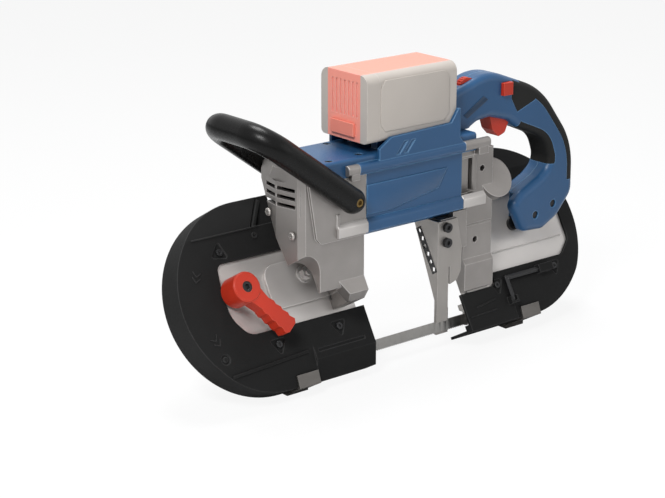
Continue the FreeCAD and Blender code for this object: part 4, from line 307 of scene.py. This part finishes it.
# Finish of each material slot in the record, then the nodes whose finish is their own
FINISH = {
    "guard_plastic": guard_nylon, "bail_plastic": bail_nylon, "soft_rubber": grip_elastomer,
    "tyre_rubber": tyre_rubber, "blue_plastic": shell_nylon, "red_plastic": control_acetal,
    "battery_red": pack_red, "battery_grey": pack_grey, "cast_aluminium": cast_alloy,
    "deck_steel": deck_plate, "zinc_steel": zinc_plate, "blade_steel": blade_steel,
    "gear_steel": gear_steel, "black_steel": black_oxide, "brass_plate": yellow_zinc,
    "lamination": lamination, "fan_plastic": dark_abs, "board_green": board_laminate, "cell_wrap": cell_wrap,
}
OWN_FINISH = {
    "battery_cap": pack_grey, "battery_button": pack_red, "motor_head": head_alloy,
    "support_shoes": dull_steel, "work_stop": stop_steel, "cover_screws": black_oxide,
    "hex_key": black_oxide, "tracking_bolt": zinc_painted_bright,
}
for row in frame["record"]["subparts"]:
    node = frame["nodes"][row["node"]]
    node.data.materials.clear()
    node.data.materials.append(FINISH[row["material_slot"]])
for name, finish in OWN_FINISH.items():
    frame["nodes"][name].data.materials[0] = finish


# Small forms that stand on the solids: steps of a rounded rim, the rounded share of a raised line, and
# the sides of bolt heads, round holes and sockets
RIM_STEPS = 3
LINE_ROUND = 0.42
HEAD_SIDES = 40
HOLE_SIDES = 24
HEXAGON = 6


def drawn_plate(corners, draw):
    """A plate: a filled ring of corners, drawn out by one vector."""
    bpy.ops.object.select_all(action="DESELECT")
    bpy.ops.mesh.primitive_circle_add(vertices=len(corners), radius=0.01, fill_type="NGON")
    plate = bpy.context.object
    for vertex, corner in zip(plate.data.vertices, corners):
        vertex.co = corner
    bpy.ops.object.mode_set(mode="EDIT")
    bpy.ops.mesh.select_all(action="SELECT")
    bpy.ops.mesh.extrude_region_move(TRANSFORM_OT_translate={"value": draw})
    bpy.ops.mesh.select_all(action="SELECT")
    bpy.ops.mesh.normals_make_consistent(inside=False)
    bpy.ops.object.mode_set(mode="OBJECT")
    return plate


def round_rim(plate, width, steps):
    """Rounds the sharp edges of a plate by a width in millimetres."""
    rim = plate.modifiers.new("rim", "BEVEL")
    rim.width = width / 1000
    rim.segments = steps
    rim.limit_method = "ANGLE"
    rim.angle_limit = math.radians(40)
    bpy.context.view_layer.objects.active = plate
    bpy.ops.object.modifier_apply(modifier="rim")


def side_plate(outline, face, way, height, rim, steps=RIM_STEPS):
    """A plate on a side face of the saw, in mm: its outline in x and z, the face in y, height and rim."""
    plate = drawn_plate([place(x, face, z) for x, z in outline], way * height / 1000)
    round_rim(plate, rim, steps)
    return plate


def raised_line(start, end, out, width, height):
    """A bead along a line on a face, its width and height in mm, standing out along one direction."""
    side = (end - start).cross(out).normalized() * width / 2000
    line = drawn_plate([start - side, end - side, end + side, start + side], out.normalized() * height / 1000)
    round_rim(line, min(width, height) * LINE_ROUND, RIM_STEPS)
    return line


def bolt_head(seat, way, radius, height, edge):
    """A round head that stands on its seat, in mm, with a rounded rim."""
    middle = seat + way * height / 2000
    bpy.ops.object.select_all(action="DESELECT")
    bpy.ops.mesh.primitive_cylinder_add(vertices=HEAD_SIDES, radius=radius / 1000, depth=height / 1000,
                                        location=middle, rotation=way.to_track_quat("Z", "Y").to_euler())
    bpy.ops.object.transform_apply(location=True, rotation=True, scale=True)
    head = bpy.context.object
    round_rim(head, edge, 4)
    return head


def cut_away(plate, tool):
    """Cuts the tool's shape out of a plate and takes the tool away."""
    cut = plate.modifiers.new("cut", "BOOLEAN")
    cut.operation = "DIFFERENCE"
    cut.object = tool
    bpy.context.view_layer.objects.active = plate
    bpy.ops.object.modifier_apply(modifier="cut")
    bpy.data.objects.remove(tool)


def cut_round(plate, centre, turn, sides, radius, depth):
    """Cuts a round hole, or one with few sides, out of a plate, its radius and depth in mm."""
    bpy.ops.object.select_all(action="DESELECT")
    bpy.ops.mesh.primitive_cylinder_add(vertices=sides, radius=radius / 1000, depth=depth / 1000,
                                        location=centre, rotation=turn)
    cut_away(plate, bpy.context.object)


def cut_box(plate, centre, sizes):
    """Cuts a box out of a plate, its sizes in mm."""
    bpy.ops.object.select_all(action="DESELECT")
    bpy.ops.mesh.primitive_cube_add(size=0.001, location=centre, scale=sizes)
    cut_away(plate, bpy.context.object)


def as_one(plates):
    """Joins plates into one piece."""
    bpy.ops.object.select_all(action="DESELECT")
    for plate in plates:
        plate.select_set(True)
    bpy.context.view_layer.objects.active = plates[0]
    bpy.ops.object.join()
    return plates[0]


def set_piece(piece, name, body, finish):
    """Names a piece, gives it its finish and lets it ride on its body."""
    bpy.ops.object.select_all(action="DESELECT")
    piece.select_set(True)
    bpy.context.view_layer.objects.active = piece
    bpy.ops.object.shade_smooth_by_angle(angle=math.radians(35))
    piece.name = name
    piece.data.materials.clear()
    piece.data.materials.append(finish)
    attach(piece, body)


# Blade: the strip's loop with a hooked tooth on every pitch, each tooth set a little aside in turn.
# Its loop twists between the wheels, so its mesh is laid point by point
TOOTH_COUNT = 450
TOOTH_DEPTH = 1.3
TOOTH_TIP = 0.9
TOOTH_SET = (0.12, 0, -0.12)


def blade_station(way):
    """Middle, direction to the tooth edge and direction of the thickness at a way along the loop, in mm."""
    radius = WHEEL_RADIUS + BLADE_THICK / 2
    half_round = math.pi * radius
    if way < SPAN:
        if way < UPRIGHT_LEFT:
            turn = 1 - min(max((way - TWIST_LEAD) / (UPRIGHT_LEFT - TWIST_LEAD), 0), 1)
        else:
            turn = min(max((way - UPRIGHT_RIGHT) / (SPAN - TWIST_LEAD - UPRIGHT_RIGHT), 0), 1)
        angle = (math.pi / 2 - LEAN) * turn
        middle = Vector((way, 0, 0)) + OUT * WHEEL_PLANE * turn
        to_teeth = Vector((0, math.sin(angle), -math.cos(angle)))
        return middle, to_teeth, Vector((0, math.cos(angle), math.sin(angle)))
    way = way - SPAN
    if way < half_round:
        angle = way / radius - math.pi / 2
        centre = Vector((SPAN, 0, 0))
    elif way < half_round + SPAN:
        middle = Vector((SPAN - (way - half_round), 0, 0)) + UP_DECK * 2 * radius + OUT * WHEEL_PLANE
        return middle, -OUT, UP_DECK
    else:
        angle = (way - half_round - SPAN) / radius + math.pi / 2
        centre = Vector((0, 0, 0))
    spoke = Vector((math.cos(angle), 0, 0)) + UP_DECK * math.sin(angle)
    return centre + UP_DECK * radius + spoke * radius + OUT * WHEEL_PLANE, -OUT, spoke


def toothed_blade():
    """The whole loop: two rings of four points for each tooth, one in its gullet and one at its tip."""
    loop = 2 * SPAN + 2 * math.pi * (WHEEL_RADIUS + BLADE_THICK / 2)
    pitch = loop / TOOTH_COUNT
    points = []
    for i in range(TOOTH_COUNT):
        tooth_set = TOOTH_SET[i % len(TOOTH_SET)]
        for share, depth, aside in ((0.0, TOOTH_DEPTH, 0), (TOOTH_TIP, 0.0, tooth_set)):
            middle, to_teeth, thick = blade_station((i + share) * pitch)
            tip = middle + to_teeth * (BLADE_WIDTH / 2 - depth) + thick * aside
            back = middle - to_teeth * BLADE_WIDTH / 2
            half = thick * BLADE_THICK / 2
            points += [tip - half, tip + half, back + half, back - half]
    faces = []
    ring = len(points)
    for start in range(0, ring, 4):
        for side in range(4):
            a = start + side
            b = start + (side + 1) % 4
            faces.append((a, b, (b + 4) % ring, (a + 4) % ring))
    mesh = bpy.data.meshes.new("saw_blade")
    mesh.from_pydata([place(*p) for p in points], [], faces)
    blade = bpy.data.objects.new("saw_blade", mesh)
    bpy.context.collection.objects.link(blade)
    bpy.ops.object.select_all(action="DESELECT")
    blade.select_set(True)
    bpy.context.view_layer.objects.active = blade
    bpy.ops.object.mode_set(mode="EDIT")
    bpy.ops.mesh.select_all(action="SELECT")
    bpy.ops.mesh.normals_make_consistent(inside=False)
    bpy.ops.object.mode_set(mode="OBJECT")
    return blade


saw_blade = toothed_blade()
set_piece(saw_blade, "saw_blade", "frame", blade_steel)
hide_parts("blade")

# Running arrows on the front guard: two pairs of raised chevrons that follow its rim
ARROW_PLACES = ((-68.9, 107.6), (-68.9, 44.2))
ARROW_STEPS = (-2.8, 2.8)
ARROW_HEIGHT = 0.6
ARROW_RIM = 0.25
CHEVRON = ((2.6, 0.0), (-1.9, 4.6), (-3.7, 4.6), (0.8, 0.0), (-3.7, -4.6), (-1.9, -4.6))
chevrons = []
for x, w in ARROW_PLACES:
    lean = math.atan2(w - WHEEL_RADIUS, x)
    for step in ARROW_STEPS:
        corners = []
        for ahead, aside in CHEVRON:
            along = ahead + step
            corners.append(on_deck(x - along * math.sin(lean) + aside * math.cos(lean),
                                   w + along * math.cos(lean) + aside * math.sin(lean), GUARD_SKIN))
        chevron = drawn_plate(corners, OUT * ARROW_HEIGHT / 1000)
        round_rim(chevron, ARROW_RIM, 2)
        chevrons.append(chevron)
set_piece(as_one(chevrons), "running_arrows", "frame", guard_nylon)

# Black strip on the jaw of the work stop, pierced by square and round holes in turn, as the jaw is: painted
# shade of the jaw's channel
STRIP_THICK = 0.6
STRIP_OUTLINE = ((-11.2, 65.5), (15.0, 108.1), (21.1, 104.4), (-5.0, 61.7))
HOLE_COUNT = 6
FIRST_HOLE_Y = -6.0
FIRST_HOLE_Z = 67.0
HOLE_STEP_Y = 4.4
HOLE_STEP_Z = 7.2
HOLE_CUT = 10.0
strip_corners = [place(STOP_X - STRIP_THICK, y, z) for y, z in STRIP_OUTLINE]
shade_strip = drawn_plate(strip_corners, TO_RIGHT * STRIP_THICK / 1000)
for i in range(HOLE_COUNT):
    centre = place(STOP_X, FIRST_HOLE_Y + HOLE_STEP_Y * i, FIRST_HOLE_Z + HOLE_STEP_Z * i)
    if i % 2:
        cut_round(shade_strip, centre, (0, math.pi / 2, 0), HOLE_SIDES, JAW_HOLE / 2, HOLE_CUT)
    else:
        cut_box(shade_strip, centre, (JAW_HOLE, JAW_HOLE, JAW_HOLE))
set_piece(shade_strip, "jaw_shade_strip", "frame", black_oxide)

# Raised panel on the side of the blue housing, its left end against the head
PANEL_HEIGHT = 0.9
PANEL_RIM = 0.7
HOUSING_PANEL = ((88.3, 147), (119.5, 147), (181.5, 157.5), (193, 177), (88.3, 177))
panel = side_plate(HOUSING_PANEL, BODY_FRONT, TO_FRONT, PANEL_HEIGHT, PANEL_RIM)
set_piece(panel, "housing_panel", "frame", shell_nylon)

# Sloped bead along the lower edge of the body: polished alloy with a painted highlight on the head, blue on
# the housing, the same alloy again on the column
BEAD_RIM = 0.6
BEAD_PROFILE = ((-19.9, 144.2), (-23.6, 140.6), (-24.0, 139.4), (-24.0, 131.4), (-23.2, 130.4),
                (-19.9, 130.4))
BEAD_RUNS = (
    ("head_bead", 51.0, 88.0, bead_alloy_painted_bright, "cast_aluminium"),
    ("housing_bead", 88.1, 212.9, shell_nylon, "blue_plastic"),
    ("column_bead", 213.0, 244.0, bead_alloy_painted_bright, "cast_aluminium"),
)
for name, left, right, finish, slot in BEAD_RUNS:
    bead = drawn_plate([place(left, y, z) for y, z in BEAD_PROFILE], TO_RIGHT * (right - left) / 1000)
    round_rim(bead, BEAD_RIM, RIM_STEPS)
    set_piece(bead, name, "frame", finish)

# Lines on the front guard: the step over the skid, the rib beside the head, the ridge along the top and a
# small ring boss below it
STEP_START = (-63.4, -6.3, 12.9)
STEP_END = (27.5, -4.75, 17.25)
STEP_WIDTH = 3.4
STEP_HEIGHT = 1.8
RIB_CORNERS = ((10.6, 144.6, 6.3), (29.4, 170.2, 6.3), (29.4, 170.2, 9.0), (10.6, 144.6, 14.3))
RIB_THICK = (3.2, -2.4)
RIB_RIM = 0.6
RIDGE_LEFT = -62.0
RIDGE_RIGHT = 18.0
RIDGE_W = 143.0
RIDGE_WIDTH = 1.8
RIDGE_HEIGHT = 0.8
BOSS_X = 9.6
BOSS_W = 134.9
BOSS_RADIUS = 3.4
BOSS_HEIGHT = 1.2
BOSS_RIM = 0.4
BOSS_HOLE = 1.9
BOSS_CUT = 2.0
step_line = raised_line(place(*STEP_START), place(*STEP_END), LOW_FACE, STEP_WIDTH, STEP_HEIGHT)
rib = drawn_plate([on_deck(*corner) for corner in RIB_CORNERS], on_deck(*RIB_THICK, 0) - on_deck(0, 0, 0))
round_rim(rib, RIB_RIM, RIM_STEPS)
ridge = raised_line(on_deck(RIDGE_LEFT, RIDGE_W, GUARD_SKIN), on_deck(RIDGE_RIGHT, RIDGE_W, GUARD_SKIN),
                    OUT, RIDGE_WIDTH, RIDGE_HEIGHT)
boss = bolt_head(on_deck(BOSS_X, BOSS_W, GUARD_SKIN), OUT, BOSS_RADIUS, BOSS_HEIGHT, BOSS_RIM)
cut_round(boss, on_deck(BOSS_X, BOSS_W, GUARD_SKIN + BOSS_HEIGHT), OUT.to_track_quat("Z", "Y").to_euler(),
          HOLE_SIDES, BOSS_HOLE, BOSS_CUT)
set_piece(as_one([step_line, rib, ridge, boss]), "front_guard_lines", "frame", guard_nylon)

# Two ribs over the lip of the rear guard: start and end on the deck, width and height
REAR_RIBS = (((243.9, 6.5), (273.4, 10.2), 2.0, 0.9), ((233.0, -1.7), (270.4, -0.6), 1.6, 0.7))
rear_lines = [raised_line(on_deck(*start, REAR_SKIN), on_deck(*end, REAR_SKIN), OUT, width, height)
              for start, end, width, height in REAR_RIBS]
set_piece(as_one(rear_lines), "rear_guard_lines", "frame", guard_nylon)

# Upright rib on the face of the gear column
COLUMN_RIB = ((237.0, 143.0), (243.5, 143.0), (243.5, 180.5), (237.0, 180.5))
COLUMN_RIB_HEIGHT = 6.0
COLUMN_RIB_RIM = 0.8
column_rib = side_plate(COLUMN_RIB, COLUMN_FACE, TO_FRONT, COLUMN_RIB_HEIGHT, COLUMN_RIB_RIM)
set_piece(column_rib, "column_rib", "frame", cast_alloy)

# Pan head screws of the head: rounded, with a cross recess, a little off the sloped nose as in the part
PAN_PLACES = ((27.0, 155.0), (-6.0, 138.0))
PAN_STAND = 1.5
PAN_RADIUS = 4.0
PAN_HEIGHT = 3.0
PAN_RIM = 1.4
CROSS_ARMS = ((3.4, 1.3, 5.0), (3.4, 5.0, 1.3))
pan_heads = []
for y, z in PAN_PLACES:
    seat = place(HEAD_NOSE + abs(y - NOSE_MIDDLE) * NOSE_SLOPE - PAN_STAND, y, z)
    pan = bolt_head(seat, TO_LEFT, PAN_RADIUS, PAN_HEIGHT, PAN_RIM)
    for arm in CROSS_ARMS:
        cut_box(pan, seat + TO_LEFT * PAN_HEIGHT / 1000, arm)
    pan_heads.append(pan)
pan_screws = as_one(pan_heads)
set_piece(pan_screws, "pan_screws", "frame", zinc_plate)
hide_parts("head_screws")

# Sunk bolts of the bail: yellow heads with a hexagon socket
BOLT_X = 63.0
BOLT_Z = 168.0
BOLT_SIDES = ((-36.3, TO_FRONT), (64.3, TO_BACK))
BOLT_RADIUS = 4.2
BOLT_HEIGHT = 4.0
BOLT_RIM = 0.5
SOCKET_RADIUS = 2.7
SOCKET_CUT = 5.0
socket_heads = []
for y, way in BOLT_SIDES:
    seat = place(BOLT_X, y, BOLT_Z)
    head = bolt_head(seat, way, BOLT_RADIUS, BOLT_HEIGHT, BOLT_RIM)
    cut_round(head, seat + way * BOLT_HEIGHT / 1000, (math.pi / 2, 0, 0), HEXAGON, SOCKET_RADIUS, SOCKET_CUT)
    socket_heads.append(head)
socket_bolts = as_one(socket_heads)
set_piece(socket_bolts, "bail_socket_bolts", "frame", yellow_zinc)
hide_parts("bail_bolts")

# Raised side panels of the battery, their corners cut off
SIDE_PANEL = ((110, 276), (105, 269), (105, 233), (110, 226), (186, 226), (193, 233), (193, 269), (186, 276))
BATTERY_SIDES = ((-20.5, TO_FRONT), (48.5, TO_BACK))
side_panels = [side_plate(SIDE_PANEL, y, way, PANEL_HEIGHT, PANEL_RIM) for y, way in BATTERY_SIDES]
set_piece(as_one(side_panels), "battery_side_panels", "battery", pack_grey)

# Bare panel on the neck of the handle
NECK_PANEL = ((229.6, 220.4), (256.7, 236.5), (263.5, 232.3), (235, 216.6))
NECK_HEIGHT = 0.6
NECK_RIM = 0.3
neck_panel = side_plate(NECK_PANEL, HANDLE_FRONT, TO_FRONT, NECK_HEIGHT, NECK_RIM, steps=2)
set_piece(neck_panel, "neck_panel", "frame", dark_blue)


# Studio, in metres: a small key from the upper left, a weak broad fill from the right and a top light
WHITE = (1.0, 1.0, 1.0, 1.0)
AMBIENT_COLOUR = (0.9, 0.95, 1.0, 1.0)
AMBIENT_STRENGTH = 0.12
LAMP_AIM = Vector((0, 0, 0.15))
LAMPS = (
    ("key", (-1.15, -0.7, 1.3), 0.45, 22),
    ("fill", (0.9, -1.5, 0.6), 1.2, 4),
    ("top", (0.1, 0.3, 1.7), 0.6, 23),
)
for name, spot, size, power in LAMPS:
    bpy.ops.object.light_add(type="AREA", location=spot)
    lamp = bpy.context.object
    lamp.name = name
    lamp.data.size = size
    lamp.data.energy = power
    lamp.rotation_euler = (LAMP_AIM - Vector(spot)).to_track_quat("-Z", "Y").to_euler()

# World: white where the camera or a reflection sees it, and a faint sky light for the rest
world = bpy.data.worlds.new("studio")
bpy.context.scene.world = world
world.use_nodes = True
sky = world.node_tree
sky.nodes.clear()
path = put(sky, "LightPath", {}, {})
seen = put(sky, "Math", {"operation": "MAXIMUM"},
           {0: path.outputs["Is Camera Ray"], 1: path.outputs["Is Glossy Ray"]})
seen = put(sky, "Math", {"operation": "MAXIMUM"},
           {0: seen.outputs["Value"], 1: path.outputs["Is Transmission Ray"]})
ambient = put(sky, "Background", {"Color": AMBIENT_COLOUR, "Strength": AMBIENT_STRENGTH}, {})
backdrop = put(sky, "Background", {"Color": WHITE, "Strength": 1.0}, {})
mixed = put(sky, "MixShader", {}, {"Fac": seen.outputs["Value"], 1: ambient.outputs["Background"],
                                   2: backdrop.outputs["Background"]})
put(sky, "OutputWorld", {}, {"Surface": mixed.outputs["Shader"]})

# Floor of white paper, pressed from fibres that are drawn coarse: matt. Nine tenths of it glow to the
# camera, so that it stays white and keeps a soft shadow
FLOOR_SIZE = 40
FLOOR_LEVEL = -0.0005
FLOOR_GLOW = 0.9
FIBRE = 6
bpy.ops.mesh.primitive_plane_add(size=FLOOR_SIZE, location=(0, 0, FLOOR_LEVEL))
floor = bpy.context.object
floor.name = "floor"
paper, paper_tree = start_material("white_paper")
spot = put(paper_tree, "TexCoord", {}, {}).outputs["Object"]
tone = clouded_tone(paper_tree, spot, "F4F4F4", "FFFFFF", cloud=FIBRE, detail=3.0)
sheet = put(paper_tree, "BsdfDiffuse", {}, {"Color": tone.outputs["Color"]})
glow = put(paper_tree, "Emission", {"Color": WHITE, "Strength": 1.0}, {})
view = put(paper_tree, "LightPath", {}, {})
share = put(paper_tree, "MapRange", {"To Max": FLOOR_GLOW}, {"Value": view.outputs["Is Camera Ray"]})
blend = put(paper_tree, "MixShader", {}, {"Fac": share.outputs["Result"], 1: sheet.outputs["BSDF"],
                                          2: glow.outputs["Emission"]})
put(paper_tree, "OutputMaterial", {}, {"Surface": blend.outputs["Shader"]})
floor.data.materials.append(paper)

# Camera: its place in mm in the frame of the cut, its angles in degrees, lens and sensor in mm
CAMERA_PLACE = (-986.98, -1283.03, 641.66)
AZIMUTH = math.radians(-39.28)
ELEVATION = math.radians(17.69)
LENS = 97.44
SENSOR = 36.0
bpy.ops.object.camera_add(location=place(*CAMERA_PLACE))
camera = bpy.context.object
aim = -Vector((math.sin(AZIMUTH) * math.cos(ELEVATION), -math.cos(AZIMUTH) * math.cos(ELEVATION),
               math.sin(ELEVATION)))
camera.rotation_euler = aim.to_track_quat("-Z", "Y").to_euler()
camera.data.lens = LENS
camera.data.sensor_width = SENSOR
bpy.context.scene.camera = camera
bpy.context.scene.view_settings.view_transform = "Standard"
